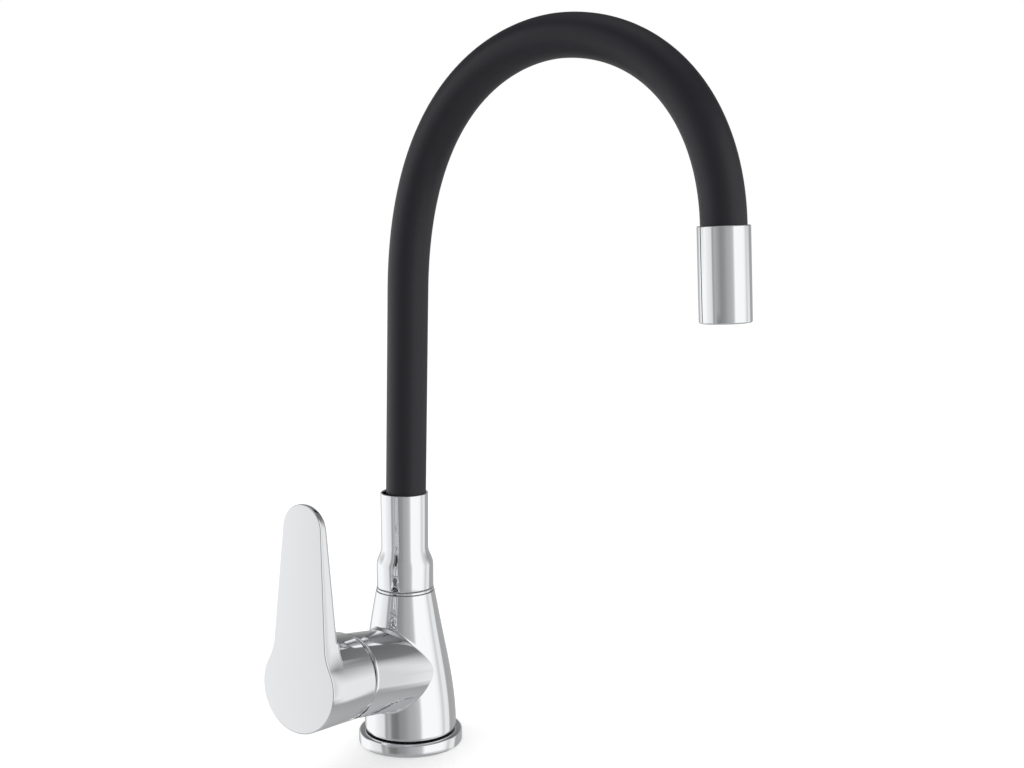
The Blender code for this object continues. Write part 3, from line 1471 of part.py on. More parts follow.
def make_aerator(looks, frame, outlet_empty):
    seal_bottom = AERATOR_SEAL_TOP + AERATOR_SEAL_THICKNESS
    turned(
        "aerator_seal",
        [
            (FITTING_RADIUS - AERATOR_SEAL_WIDTH, AERATOR_SEAL_TOP),
            (FITTING_RADIUS, AERATOR_SEAL_TOP),
            (FITTING_RADIUS, seal_bottom),
            (FITTING_RADIUS - AERATOR_SEAL_WIDTH, seal_bottom),
        ],
        looks["rubber"],
        frame,
        outlet_empty,
    )
    lip = AERATOR_BORE - AERATOR_LIP_WIDTH
    turned(
        "aerator_housing",
        [
            (AERATOR_BORE, AERATOR_TOP),
            (FITTING_RADIUS, AERATOR_TOP),
            (FITTING_RADIUS, AERATOR_BOTTOM),
            (lip, AERATOR_BOTTOM),
            (lip, AERATOR_BOTTOM - AERATOR_LIP),
            (AERATOR_BORE, AERATOR_BOTTOM - AERATOR_LIP),
        ],
        looks["black_acetal"],
        frame,
        outlet_empty,
    )
    inside = AERATOR_BORE - GAP
    discs = (
        ("aerator_core", CORE_TOP, CORE_BOTTOM, CORE_HOLE_RADIUS, CORE_HOLE_PITCH, CORE_HOLE_RINGS, "acetal"),
        (
            "aerator_screen",
            SCREEN_TOP,
            SCREEN_BOTTOM,
            SCREEN_HOLE_RADIUS,
            SCREEN_HOLE_PITCH,
            SCREEN_HOLE_RINGS,
            "steel",
        ),
    )
    for name, top, bottom, hole, pitch, rings, look in discs:
        disc = turned(
            name,
            [(0, top), (inside, top), (inside, bottom), (0, bottom)],
            looks[look],
            frame,
            outlet_empty,
        )
        cut(disc, hole_pattern(f"{name}_holes", hole, pitch, rings, top - OVERRUN, bottom + OVERRUN, frame))


def main():
    for obj in list(bpy.data.objects):
        bpy.data.objects.remove(obj, do_unlink=True)
    looks = make_materials()
    make_base(looks)
    make_body(looks)
    rotor_empty = joint_empty("temperature_axis", BRANCH_FRAME)
    slide_empty = joint_empty("disc_slide_axis", BRANCH_FRAME, rotor_empty)
    lever_empty = joint_empty("lever_lift_axis", LEVER_FRAME, rotor_empty)
    spout_empty = joint_empty("spout_swivel_axis", SPOUT_AXIS)
    make_cartridge(looks, rotor_empty, slide_empty)
    make_nut_and_dome(looks)
    make_lever(looks, lever_empty)
    make_swivel(looks, spout_empty)
    route = Route()
    make_sleeve_and_hose(looks, route, spout_empty)
    outlet_empty = make_gooseneck(looks, route, spout_empty)
    make_outlet(looks, route, outlet_empty)
    print("disc shift and spindle arm, mm:", round(DISC_SHIFT * 1000, 3), round(-BALL_AT * 1000, 3))


main()
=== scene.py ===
"""Looks of the bendable-spout mixer tap: plated brass body and lever, black silicone sleeve, white studio.

Metres, in the CAD frame: +Z up, origin under the base ring, spout towards +X, lever towards -Y.
"""

import bisect
import json
import math

import bpy
from mathutils import Matrix, Vector


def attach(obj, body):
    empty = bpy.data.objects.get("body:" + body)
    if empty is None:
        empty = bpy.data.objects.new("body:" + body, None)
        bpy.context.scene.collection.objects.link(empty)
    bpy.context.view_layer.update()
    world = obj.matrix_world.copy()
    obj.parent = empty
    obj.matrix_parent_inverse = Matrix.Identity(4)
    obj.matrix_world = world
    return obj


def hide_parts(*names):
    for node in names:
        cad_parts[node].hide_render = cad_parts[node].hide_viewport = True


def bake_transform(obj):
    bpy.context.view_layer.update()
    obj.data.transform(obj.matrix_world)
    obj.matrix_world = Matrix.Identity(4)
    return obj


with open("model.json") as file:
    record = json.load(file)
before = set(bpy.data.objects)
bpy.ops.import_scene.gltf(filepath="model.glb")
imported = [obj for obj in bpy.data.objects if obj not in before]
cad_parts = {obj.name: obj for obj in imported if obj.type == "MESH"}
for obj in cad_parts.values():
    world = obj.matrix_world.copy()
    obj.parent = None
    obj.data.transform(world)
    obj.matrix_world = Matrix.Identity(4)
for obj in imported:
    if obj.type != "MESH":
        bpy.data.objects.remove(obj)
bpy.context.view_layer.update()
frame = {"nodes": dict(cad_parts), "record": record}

# Values that many of the new pieces share
ROUND, DRILL_SIDES = 160, 48
SMOOTH = math.radians(32)
QUARTER = math.pi / 2
MERGE, HIDDEN_STEP, OVERRUN = 0.000001, 0.00001, 0.001

# Base ring, with the gasket's groove in its underside
RING_RADIUS, RING_HEIGHT, RING_BORE = 0.0285, 0.0070, 0.0205
RING_EDGE, RING_BORE_EDGE = 0.0014, 0.0004
GROOVE_INNER, GROOVE_OUTER, GROOVE_DEPTH = 0.0232, 0.0268, 0.0016
RING_LOW_STEPS, RING_TOP_STEPS, BORE_STEPS = 5, 8, 3

# Body: a bell that leans forwards as it rises
SPOUT_FORWARD = 0.0035
FOOT_GAP = 0.0003
FOOT_BOTTOM = RING_HEIGHT + FOOT_GAP
FOOT_RADIUS, FOOT_START, FOOT_EDGE = 0.0252, 0.0078, 0.0005
# The second radius is the outside of the dark ring in the foot's gap, painted shade in place of the gap's
# shadow
FOOT_SEAM_RADIUS, FOOT_GAP_SHADE_RADIUS = 0.0241, 0.0246
SPIGOT_RADIUS, SPIGOT_BOTTOM = 0.0202, 0.0006
NECK_RADIUS, NECK_EDGE, NECK_TOP = 0.0160, 0.0004, 0.08663
FOOT_HANDLE, WAIST_RADIUS, WAIST_DROP = 0.0280, 0.0206, 0.0250
LEAN_START, LEAN_RISE = 0.0090, 0.0640
BELL_ROWS, BELL_SAMPLES, FOOT_STEPS, NECK_STEPS = 56, 800, 4, 5

# Holes in the body's neck and underside
SOCKET_RADIUS, SOCKET_FLOOR = 0.0105, 0.0656
RECESS_RADIUS, RECESS_TOP = 0.0175, 0.0146
PORT_RADIUS, PORT_SPREAD, PORT_FORWARD = 0.0046, 0.0075, 0.0060
STUD_RADIUS, STUD_BACK = 0.0035, 0.0105
PORT_BOTTOM, PORT_TOP = 0.0140, 0.0286

# Branch, and the fillet between it and the bell
PIVOT = Vector((0, -0.0535, 0.0513))
BRANCH_TILT = math.radians(10)
BRANCH_FRAME = Matrix.Translation(PIVOT) @ Matrix.Rotation(QUARTER - BRANCH_TILT, 4, "X")
BRANCH_RADIUS, BRANCH_EDGE, BRANCH_RIM = 0.0221, 0.0014, 0.0016
BRANCH_ROOT, BRANCH_ROOT_STEPS, BRANCH_EDGE_STEPS = 0.05077, 12, 5
NUT_RELIEF, NUT_SHOULDER = 0.0194, -0.0060
CAVITY_RADIUS, CAVITY_FLOOR = 0.0175, -0.0337
FILLET_RADIUS, FILLET_ROOT, FILLET_STEPS = 0.0022, 0.0010, 8
SLOPE_STEP, HALVINGS = 0.00005, 22

# Dome cap
DOME_RADIUS, DOME_WALL, DOME_FOOT, DOME_OPENING = 0.0205, 0.0016, 0.0013, 0.0120
DOME_SPIGOT_RADIUS, DOME_SPIGOT_WALL, DOME_SPIGOT_BOTTOM = 0.0191, 0.0016, 0.0001
DOME_STEPS, DOME_INNER_STEPS = 28, 20

# Lever
LEVER_TILT = math.radians(3.5)
LEVER_FRAME = Matrix.Translation(PIVOT) @ Matrix.Rotation(QUARTER - LEVER_TILT, 4, "X")
FACE_OUT, FACE_RADIUS, FACE_EDGE, BACK_EDGE = 0.0373, 0.0235, 0.0006, 0.0030
FACE_RISE, HUB_RIM_RISE = 0.0026, 0.0012
ARM_TIP, ARM_TIP_RADIUS = 0.0928, 0.0126
ARM_ROOT = Vector((0.0173, 0.0180))
ARM_TIP_THICKNESS, ARM_THICKENING = 0.0050, 0.0900
ARM_SHOULDER, ARM_FILLET = 0.0260, 0.0016
DRAFT = 0.0120
HUB_RIM, HUB_WALL, HUB_FLOOR, HUB_EDGE, HUB_SUNK = 0.0040, 0.0013, 0.0263, 0.0005, 0.0030
HUB_LEAN = (FACE_RISE - HUB_RIM_RISE) / (FACE_OUT - HUB_RIM)
LEANED = Matrix(((1, 0, 0, 0), (0, 1, HUB_LEAN, FACE_RISE - HUB_LEAN * FACE_OUT), (0, 0, 1, 0), (0, 0, 0, 1)))
LEVER_BODY = LEVER_FRAME @ LEANED
BOSS_RADIUS, BOSS_BOTTOM = 0.0085, 0.0239
SPINDLE_HOLE, SPINDLE_HOLE_TOP = 0.0038, 0.0313
SCREW_OUT, SCREW_TILT = 0.0290, math.radians(12)
SCREW_HOLE, SCREW_HOLE_START, SCREW_HOLE_END = 0.0028, 0.0035, 0.0340
FACE_SIDES = 144
TIP_STEPS, SIDE_STEPS, SHOULDER_STEPS, FILLET_ROWS = 20, 24, 14, 14
EDGE_STEPS, HUB_EDGE_STEPS = 8, 5

# Ferrule
FERRULE_FOOT, FERRULE_HEIGHT = 0.08843, 0.0522
FERRULE_LOWER_BORE, FERRULE_LOWER_RADIUS = 0.0125, 0.0154
FERRULE_LOWER_HEIGHT, FERRULE_SHOULDER, FERRULE_SHOULDER_STEPS = 0.0122, 0.0100, 24
FERRULE_MOUTH, FERRULE_LIP, FERRULE_WAIST = 0.0120, 0.0009, 0.0002
FERRULE_STEP, FERRULE_EDGE = 0.0109, 0.0006
FERRULE_EDGE_STEPS, FERRULE_LIP_STEPS = 4, 10

# Slip ring at the swivel
BEAD_BORE, BEAD_RADIUS, BEAD_EDGE, BEAD_JOINT, BEAD_EDGE_STEPS = 0.0153, 0.0156, 0.00015, 0.0003, 4

# Spout route, sleeve and water hose
ROUTE_FOOT, BEND_FOOT = 0.08393, 0.09193
RISER_SLOPE, RISER_LENGTH = 0.0248, 0.1588
APEX = (0.0966, 0.1260)
RISING_HANDLE, APEX_BACK, APEX_ON = 0.1026, 0.0328, 0.0464
OUTLET_REACH, OUTLET_FALL, FALLING_HANDLE = 0.0863, 0.0894, 0.0566
OUTLET_TILT = math.radians(2.6)
ROUTE_STEPS, ROW_SPACING = 160, 0.0020
SLEEVE_FOOT, SLEEVE_INSERT = 0.09963, 0.0080
SLEEVE_RADIUS, SLEEVE_BORE, SLEEVE_SIDES = 0.0108, 0.0083, 72
HOSE_FOOT, HOSE_END = 0.08423, 0.0210
HOSE_RADIUS, HOSE_BORE, HOSE_SIDES = 0.0036, 0.0025, 16
FIRST_HINGE, LAST_HINGE, LINKS = 0.0250, 0.0200, 5

# Outlet
OUTLET_RADIUS, OUTLET_BORE, OUTLET_LENGTH, OUTLET_EDGE = 0.01235, 0.01115, 0.0446, 0.0009
OUTLET_LIP_STEPS, OUTLET_EDGE_STEPS = 6, 8

# Studio and camera
FLOOR_RADIUS, FLOOR_DROP, FLOOR_SIDES, FLOOR_GLOW = 3.0, 0.00005, 96, 0.32
ROOM_LIGHT = 0.82
SOFTBOX_PLACE, SOFTBOX_AIM = (-0.5, -0.6, 1.5), (0, 0, 0.1)
SOFTBOX_SIZE, SOFTBOX_POWER = 0.9, 4.0
CAMERA_AZIMUTH, CAMERA_DIP = math.radians(34), math.radians(8.0)
CAMERA_HEIGHT, CAMERA_BACK, CAMERA_ACROSS = 0.3083, 0.7742, 0.0583
SENSOR_MM, LENS_MM = 36, 51.33


# Materials


def linear(hex_colour):
    """An sRGB hex colour such as #2B2B2D as linear red, green, blue and alpha."""
    channels = [int(hex_colour[i : i + 2], 16) / 255 for i in (1, 3, 5)]
    return (*(c / 12.92 if c <= 0.04045 else ((c + 0.055) / 1.055) ** 2.4 for c in channels), 1.0)


def grey(value):
    return (value, value, value, 1)


def add(tree, kind, settings=(), values=(), links=()):
    """Adds one node, with its settings, its sockets' plain values and the links into it."""
    node = tree.nodes.new(kind)
    for key, value in dict(settings).items():
        setattr(node, key, value)
    for socket, value in dict(values).items():
        node.inputs[socket].default_value = value
    for socket, source in dict(links).items():
        tree.links.new(source, node.inputs[socket])
    return node


def per_mm(millimetres):
    """Noise scale whose features are about that size, on coordinates in metres."""
    return 1000 / millimetres


def surface(name, colour, roughness, metallic=0.0, **extra):
    """A Principled material with its plain values set, its tree, its shader and its object coordinates."""
    made = bpy.data.materials.new(name)
    made.use_nodes = True
    shader = made.node_tree.nodes["Principled BSDF"]
    shader.inputs["Base Color"].default_value = linear(colour)
    shader.inputs["Roughness"].default_value = roughness
    shader.inputs["Metallic"].default_value = metallic
    for socket, value in extra.items():
        shader.inputs[socket].default_value = value
    coords = add(made.node_tree, "ShaderNodeTexCoord").outputs["Object"]
    return made, made.node_tree, shader, coords


def vary(tree, shader, socket, source, low, high):
    """Drives a socket of the shader between two values by a grey pattern."""
    mapped = add(tree, "ShaderNodeMapRange", values={"To Min": low, "To Max": high}, links={"Value": source})
    tree.links.new(mapped.outputs["Result"], shader.inputs[socket])


def tint(tree, shader, source, dark, light):
    """Drives the colour between two hex colours by a grey pattern."""
    mix = add(
        tree,
        "ShaderNodeMix",
        {"data_type": "RGBA"},
        {"A": linear(dark), "B": linear(light)},
        {"Factor": source},
    )
    tree.links.new(mix.outputs["Result"], shader.inputs["Base Color"])


def bumped(tree, shader, source, depth, strength):
    """Raises the surface by up to a depth in metres where the grey pattern is light."""
    relief = {"Strength": strength, "Distance": depth}
    bump = add(tree, "ShaderNodeBump", values=relief, links={"Height": source})
    tree.links.new(bump.outputs["Normal"], shader.inputs["Normal"])


def noise(tree, coords, size_mm, detail, stretch=(1, 1, 1)):
    scaled = add(tree, "ShaderNodeMapping", values={"Scale": stretch}, links={"Vector": coords})
    made = add(
        tree,
        "ShaderNodeTexNoise",
        values={"Scale": per_mm(size_mm), "Detail": detail},
        links={"Vector": scaled.outputs["Vector"]},
    )
    return made.outputs["Fac"]


def plated_chrome():
    # Bright chrome over polished cast brass: a mirror with faint buffing haze and the casting's slow ripple
    made, tree, shader, coords = surface("polished_chrome_plate", "#F8F9FB", 0.045, 1.0)
    vary(tree, shader, "Roughness", noise(tree, coords, 4.0, 5.0), 0.030, 0.065)
    bumped(tree, shader, noise(tree, coords, 16.0, 0.0), 0.00002, 0.4)
    return made


def turned_chrome():
    # Chrome over drawn tube, buffed on a lathe: a cleaner mirror with hardly any ripple
    made, tree, shader, coords = surface("buffed_chrome_tube", "#F7F8FA", 0.035, 1.0)
    vary(tree, shader, "Roughness", noise(tree, coords, 3.0, 5.0), 0.024, 0.055)
    bumped(tree, shader, noise(tree, coords, 20.0, 0.0), 0.00001, 0.4)
    return made


def matte_silicone():
    # Moulded silicone: a soft, matte, faintly blue black with a fine eggshell texture and a trace of dust
    made, tree, shader, coords = surface("moulded_black_silicone", "#16151E", 0.42, IOR=1.50)
    tint(tree, shader, noise(tree, coords, 7.0, 6.0), "#13121B", "#191821")
    vary(tree, shader, "Roughness", noise(tree, coords, 2.0, 4.0), 0.37, 0.47)
    bumped(tree, shader, noise(tree, coords, 0.45, 3.0), 0.00006, 0.5)
    return made


def turned_brass():
    # Free-cutting brass from the lathe: dull gold with close tool rings
    made, tree, shader, coords = surface("turned_brass", "#C9A05A", 0.30, 1.0)
    tint(tree, shader, noise(tree, coords, 3.0, 4.0), "#BE9550", "#D2AB66")
    bumped(tree, shader, noise(tree, coords, 0.3, 2.0, (1, 1, 6)), 0.00002, 0.5)
    return made


def drawn_steel():
    # Drawn stainless wire and bar: grey, brushed along its length
    made, tree, shader, coords = surface("drawn_stainless_steel", "#A9AAAD", 0.28, 1.0)
    vary(tree, shader, "Roughness", noise(tree, coords, 0.5, 3.0, (1, 1, 0.1)), 0.20, 0.38)
    return made


def moulded_acetal(name, dark, light):
    # Moulded acetal: waxy and semi-matte, with a faint flow mottle
    made, tree, shader, coords = surface(name, light, 0.42)
    tint(tree, shader, noise(tree, coords, 2.5, 4.0), dark, light)
    bumped(tree, shader, noise(tree, coords, 0.35, 2.0), 0.00003, 0.4)
    return made


def lapped_ceramic():
    # Alumina lapped flat: cream and dense, with a satin face
    made, tree, shader, coords = surface("lapped_alumina", "#EBE7DC", 0.22)
    tint(tree, shader, noise(tree, coords, 0.8, 3.0), "#E4DFD2", "#F0EDE4")
    vary(tree, shader, "Roughness", noise(tree, coords, 0.5, 2.0), 0.18, 0.30)
    return made


def nitrile_rubber():
    # Nitrile rubber: dull black with a fine moulding grain
    made, tree, shader, coords = surface("nitrile_rubber", "#222223", 0.78)
    tint(tree, shader, noise(tree, coords, 1.2, 4.0), "#1C1C1D", "#29292A")
    bumped(tree, shader, noise(tree, coords, 0.3, 2.0), 0.00004, 0.5)
    return made


CAST_CHROME = plated_chrome()
TUBE_CHROME = turned_chrome()
SILICONE = matte_silicone()
BRASS = turned_brass()
STEEL = drawn_steel()
WHITE_ACETAL = moulded_acetal("moulded_white_acetal", "#C4C6C9", "#D2D4D6")
BLACK_ACETAL = moulded_acetal("moulded_black_acetal", "#19191B", "#232326")
CERAMIC = lapped_ceramic()
RUBBER = nitrile_rubber()


# Modelling helpers


def spread(start, end, steps):
    """Evenly spaced values from start to end, with both."""
    return [start + (end - start) * i / steps for i in range(steps + 1)]


def arc(centre, radius, start, end, steps):
    x, y = centre
    return [(x + radius * math.cos(t), y + radius * math.sin(t)) for t in spread(start, end, steps)]


def circle(radius, height, centre):
    x, y = centre
    turns = spread(0, math.tau, ROUND)[:-1]
    return [Vector((x + radius * math.cos(t), y + radius * math.sin(t), height)) for t in turns]


def facing(turn):
    return Vector((math.cos(turn), math.sin(turn)))


def upright(x, y):
    return Matrix.Translation((x, y, 0))


SPOUT_AXIS = upright(0, -SPOUT_FORWARD)


def set_mode(mode):
    bpy.ops.object.mode_set(mode=mode)


def select_all(action):
    bpy.ops.mesh.select_all(action=action)


def clear_selection():
    if bpy.context.object and bpy.context.object.mode == "EDIT":
        set_mode("OBJECT")
    bpy.ops.object.select_all(action="DESELECT")


def pick(made):
    """Makes one object the active one and the only one selected."""
    clear_selection()
    made.select_set(True)
    bpy.context.view_layer.objects.active = made


def ring_of(name, points):
    """A circle primitive of as many corners as points, each corner moved to its point."""
    clear_selection()
    bpy.ops.mesh.primitive_circle_add(vertices=len(points), radius=OVERRUN)
    made = bpy.context.object
    made.name = name
    made.data.name = name
    for corner, point in zip(made.data.vertices, points):
        corner.co = point
    return made


def finish_mesh(made, look):
    """Merges doubles, turns the faces outwards, and shades and paints the piece."""
    if made.mode != "EDIT":
        set_mode("EDIT")
    select_all("SELECT")
    bpy.ops.mesh.remove_doubles(threshold=MERGE)
    bpy.ops.mesh.normals_make_consistent(inside=False)
    set_mode("OBJECT")
    bpy.ops.object.shade_smooth_by_angle(angle=SMOOTH)
    made.data.materials.clear()
    if look:
        made.data.materials.append(look)
    return made


def lathe(name, outline, look=None, matrix=Matrix.Identity(4), sides=ROUND):
    """Draws (radius, height) points as a wire and spins them about Z.

    The outline is closed, or starts and ends on the axis.
    """
    made = ring_of(name, [(radius, 0, height) for radius, height in outline])
    set_mode("EDIT")
    if outline[0][0] == 0:
        # The wire along the axis would spin into nothing
        bpy.ops.mesh.select_mode(type="EDGE")
        select_all("DESELECT")
        set_mode("OBJECT")
        for edge in made.data.edges:
            edge.select = set(edge.vertices) == {0, len(outline) - 1}
        set_mode("EDIT")
        bpy.ops.mesh.delete(type="EDGE")
    bpy.ops.mesh.select_mode(type="VERT")
    select_all("SELECT")
    bpy.ops.mesh.spin(steps=sides, angle=math.tau, center=(0, 0, 0), axis=(0, 0, 1))
    finish_mesh(made, look)
    made.data.transform(matrix)
    return made


def stretch_through(name, loops, look=None, closed=False, matrix=Matrix.Identity(4)):
    """Extrudes a ring of points through the next loops, then caps both ends or closes it on itself."""
    made = ring_of(name, loops[0])
    set_mode("EDIT")
    select_all("SELECT")
    for _ in loops[1:]:
        bpy.ops.mesh.extrude_region_move()
    set_mode("OBJECT")
    count, last = len(loops[0]), len(loops) - 1
    for row, loop in enumerate(loops):
        for corner, point in enumerate(loop):
            made.data.vertices[row * count + corner].co = point
    set_mode("EDIT")
    for rows in [(0, last)] if closed else [(0,), (last,)]:
        select_all("DESELECT")
        set_mode("OBJECT")
        for row in rows:
            for corner in range(count):
                made.data.vertices[row * count + corner].select = True
        set_mode("EDIT")
        if closed:
            bpy.ops.mesh.bridge_edge_loops()
        else:
            bpy.ops.mesh.edge_face_add()
    finish_mesh(made, look)
    made.data.transform(matrix)
    return made


def join_solids(made, other, operation):
    """Applies one Boolean with another solid, which is used up by it."""
    pick(made)
    change = made.modifiers.new(other.name, "BOOLEAN")
    change.operation = operation
    change.solver = "EXACT"
    change.object = other
    bpy.ops.object.modifier_apply(modifier=change.name)
    bpy.data.objects.remove(other, do_unlink=True)


def drill(name, radius, low, high, matrix):
    return lathe(name, [(0, low), (radius, low), (radius, high), (0, high)], matrix=matrix, sides=DRILL_SIDES)


def install(made, body, slot, *nodes):
    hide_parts(*nodes)
    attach(made, body)


# Body: bell, branch and the fillet between them


def curve_point(points, share):
    """The point at a share of a cubic curve with four control points."""
    left = 1 - share
    weights = (left**3, 3 * left**2 * share, 3 * left * share**2, share**3)
    return sum((point * weight for point, weight in zip(points, weights)), points[0] * 0)


def bell_point(share):
    """(radius, height) at a share of the bell's side, foot to neck."""
    foot = Vector((FOOT_RADIUS, FOOT_START + FOOT_EDGE))
    neck = Vector((NECK_RADIUS, NECK_TOP - NECK_EDGE))
    bends = (foot, foot + Vector((0, FOOT_HANDLE)), Vector((WAIST_RADIUS, neck.y - WAIST_DROP)), neck)
    return curve_point(bends, share)


def bell_centre(height):
    """How far forwards the bell's middle leans at a height: an ease from the foot to the neck."""
    share = min(1.0, max(0.0, (height - LEAN_START) / LEAN_RISE))
    return -SPOUT_FORWARD * share * share * (3 - 2 * share)


BELL = [bell_point(share) for share in spread(0, 1, BELL_SAMPLES)]
BELL_HEIGHTS = [point.y for point in BELL]


def bell_radius(height):
    index = min(max(bisect.bisect(BELL_HEIGHTS, height), 1), BELL_SAMPLES)
    below, above = BELL[index - 1], BELL[index]
    return below.lerp(above, (height - below.y) / (above.y - below.y)).x


def bell_distance(point):
    """Distance from the bell's side and the way straight out of it."""
    moves = [Vector(way) * step for way in Matrix.Identity(3) for step in (SLOPE_STEP, -SLOPE_STEP)]
    depths = [
        math.hypot(p.x, p.y - bell_centre(p.z)) - bell_radius(p.z)
        for p in (point, *(point + move for move in moves))
    ]
    slope = Vector((depths[1] - depths[2], depths[3] - depths[4], depths[5] - depths[6])) / (2 * SLOPE_STEP)
    return depths[0] / slope.length, slope.normalized()


def halve(low, high, below):
    """The value between two where below turns from true to false."""
    for _ in range(HALVINGS):
        middle = (low + high) / 2
        low, high = (middle, high) if below(middle) else (low, middle)
    return low


def fillet_section(turn):
    """Section of the corner between branch and bell, where a ball rolled along it touches both."""
    away = BRANCH_FRAME.to_3x3() @ facing(turn).to_3d()
    along = BRANCH_FRAME.to_3x3() @ Vector((0, 0, 1))

    def ball(out):
        return PIVOT + along * out + away * (BRANCH_RADIUS + FILLET_RADIUS)

    out = halve(-BRANCH_ROOT, BRANCH_RIM, lambda value: bell_distance(ball(value))[0] < FILLET_RADIUS)
    centre = ball(out)
    to_bell, to_branch = -bell_distance(centre)[1], -away
    opening = to_branch.angle(to_bell)
    ways = []
    for share in spread(0, 1, FILLET_STEPS):
        way = to_bell * math.sin((1 - share) * opening) + to_branch * math.sin(share * opening)
        ways.append(way / math.sin(opening))
    sunk = FILLET_RADIUS + FILLET_ROOT
    corner_sunk = FILLET_RADIUS / math.cos(opening / 2) + FILLET_ROOT
    corner = centre + (to_bell + to_branch).normalized() * corner_sunk
    return [
        centre + to_bell * sunk,
        *(centre + way * (FILLET_RADIUS + HIDDEN_STEP) for way in ways),
        centre + to_branch * sunk,
        corner,
    ]


def make_body():
    rings = [(SPIGOT_RADIUS, SPIGOT_BOTTOM), (SPIGOT_RADIUS, FOOT_BOTTOM)]
    rings += [(FOOT_SEAM_RADIUS, FOOT_BOTTOM), (FOOT_SEAM_RADIUS, FOOT_START)]
    rings += arc((FOOT_RADIUS - FOOT_EDGE, FOOT_START + FOOT_EDGE), FOOT_EDGE, -QUARTER, 0, FOOT_STEPS)[:-1]
    rings += [tuple(bell_point(share)) for share in spread(0, 1, BELL_ROWS)]
    rings += arc((NECK_RADIUS - NECK_EDGE, NECK_TOP - NECK_EDGE), NECK_EDGE, 0, QUARTER, NECK_STEPS)[1:]
    body = stretch_through("body_casting_plated", [circle(r, z, (0, bell_centre(z))) for r, z in rings])
    rim_edge = (BRANCH_RADIUS - BRANCH_EDGE, BRANCH_RIM - BRANCH_EDGE)
    outline = arc((0, -BRANCH_ROOT), BRANCH_RADIUS, -QUARTER, 0, BRANCH_ROOT_STEPS)
    outline += arc(rim_edge, BRANCH_EDGE, 0, QUARTER, BRANCH_EDGE_STEPS)
    outline.append((0, BRANCH_RIM))
    branch = lathe("branch", outline, matrix=BRANCH_FRAME)
    sections = [fillet_section(turn) for turn in spread(0, math.tau, ROUND)[:-1]]
    fillet = stretch_through("fillet", sections, closed=True)
    join_solids(body, branch, "UNION")
    join_solids(body, fillet, "UNION")
    cavity = [(0, CAVITY_FLOOR), (CAVITY_RADIUS, CAVITY_FLOOR), (CAVITY_RADIUS, NUT_SHOULDER)]
    cavity += [(NUT_RELIEF, NUT_SHOULDER), (NUT_RELIEF, BRANCH_RIM + OVERRUN), (0, BRANCH_RIM + OVERRUN)]
    join_solids(body, lathe("cavity", cavity, matrix=BRANCH_FRAME), "DIFFERENCE")
    socket = drill("socket", SOCKET_RADIUS, SOCKET_FLOOR, NECK_TOP + OVERRUN, SPOUT_AXIS)
    join_solids(body, socket, "DIFFERENCE")
    join_solids(body, drill("recess", RECESS_RADIUS, -OVERRUN, RECESS_TOP, upright(0, 0)), "DIFFERENCE")
    ports = [(side * PORT_SPREAD, -PORT_FORWARD, PORT_RADIUS) for side in (-1, 1)]
    for x, y, radius in (*ports, (0, STUD_BACK, STUD_RADIUS)):
        join_solids(body, drill("port", radius, PORT_BOTTOM, PORT_TOP, upright(x, y)), "DIFFERENCE")
    pick(body)
    finish_mesh(body, CAST_CHROME)
    install(body, "tap_body", "chrome", "body_casting")


def make_foot_gap_shade():
    """The dark line between body and base ring: painted shade, a dark rubber ring set back from both that
    stands in for the shadow in the gap.
    """
    low, high = FOOT_BOTTOM, FOOT_START - HIDDEN_STEP
    inner = FOOT_SEAM_RADIUS + HIDDEN_STEP
    soft = (high - low) / 4
    outline = [(inner, low), (FOOT_GAP_SHADE_RADIUS - soft, low), (FOOT_GAP_SHADE_RADIUS, low + soft)]
    outline += [(FOOT_GAP_SHADE_RADIUS, high - soft), (FOOT_GAP_SHADE_RADIUS - soft, high), (inner, high)]
    # Painted shade: rubber-dark colour fills the seam where the gap's shadow would be
    install(lathe("foot_gap_painted_shade", outline, RUBBER), "tap_body", "rubber", "body_casting")


def make_ring():
    low_edge, bore_edge = RING_EDGE / 2, RING_BORE_EDGE
    outline = [(RING_BORE, 0), (GROOVE_INNER, 0), (GROOVE_INNER, GROOVE_DEPTH)]
    outline += [(GROOVE_OUTER, GROOVE_DEPTH), (GROOVE_OUTER, 0)]
    outline += arc((RING_RADIUS - low_edge, low_edge), low_edge, -QUARTER, 0, RING_LOW_STEPS)
    outline += arc((RING_RADIUS - RING_EDGE, RING_HEIGHT - RING_EDGE), RING_EDGE, 0, QUARTER, RING_TOP_STEPS)
    outline += arc((RING_BORE + bore_edge, RING_HEIGHT - bore_edge), bore_edge, QUARTER, math.pi, BORE_STEPS)
    install(lathe("base_ring_plated", outline, TUBE_CHROME), "tap_body", "chrome", "base_ring")


def make_dome():
    inner = DOME_RADIUS - DOME_WALL
    spigot = DOME_SPIGOT_RADIUS
    foot, opening = math.asin(DOME_FOOT / DOME_RADIUS), math.acos(DOME_OPENING / DOME_RADIUS)
    inner_foot, inner_opening = math.asin(DOME_FOOT / inner), math.acos(DOME_OPENING / inner)
    outline = arc((0, 0), DOME_RADIUS, foot, opening, DOME_STEPS)
    outline += arc((0, 0), inner, inner_opening, inner_foot, DOME_INNER_STEPS)[:-1]
    outline += [(spigot - DOME_SPIGOT_WALL, DOME_FOOT), (spigot - DOME_SPIGOT_WALL, DOME_SPIGOT_BOTTOM)]
    outline += [(spigot, DOME_SPIGOT_BOTTOM), (spigot, DOME_FOOT)]
    dome = lathe("dome_cap_plated", outline, TUBE_CHROME, BRANCH_FRAME)
    install(dome, "tap_body", "chrome", "dome_cap")


# Lever


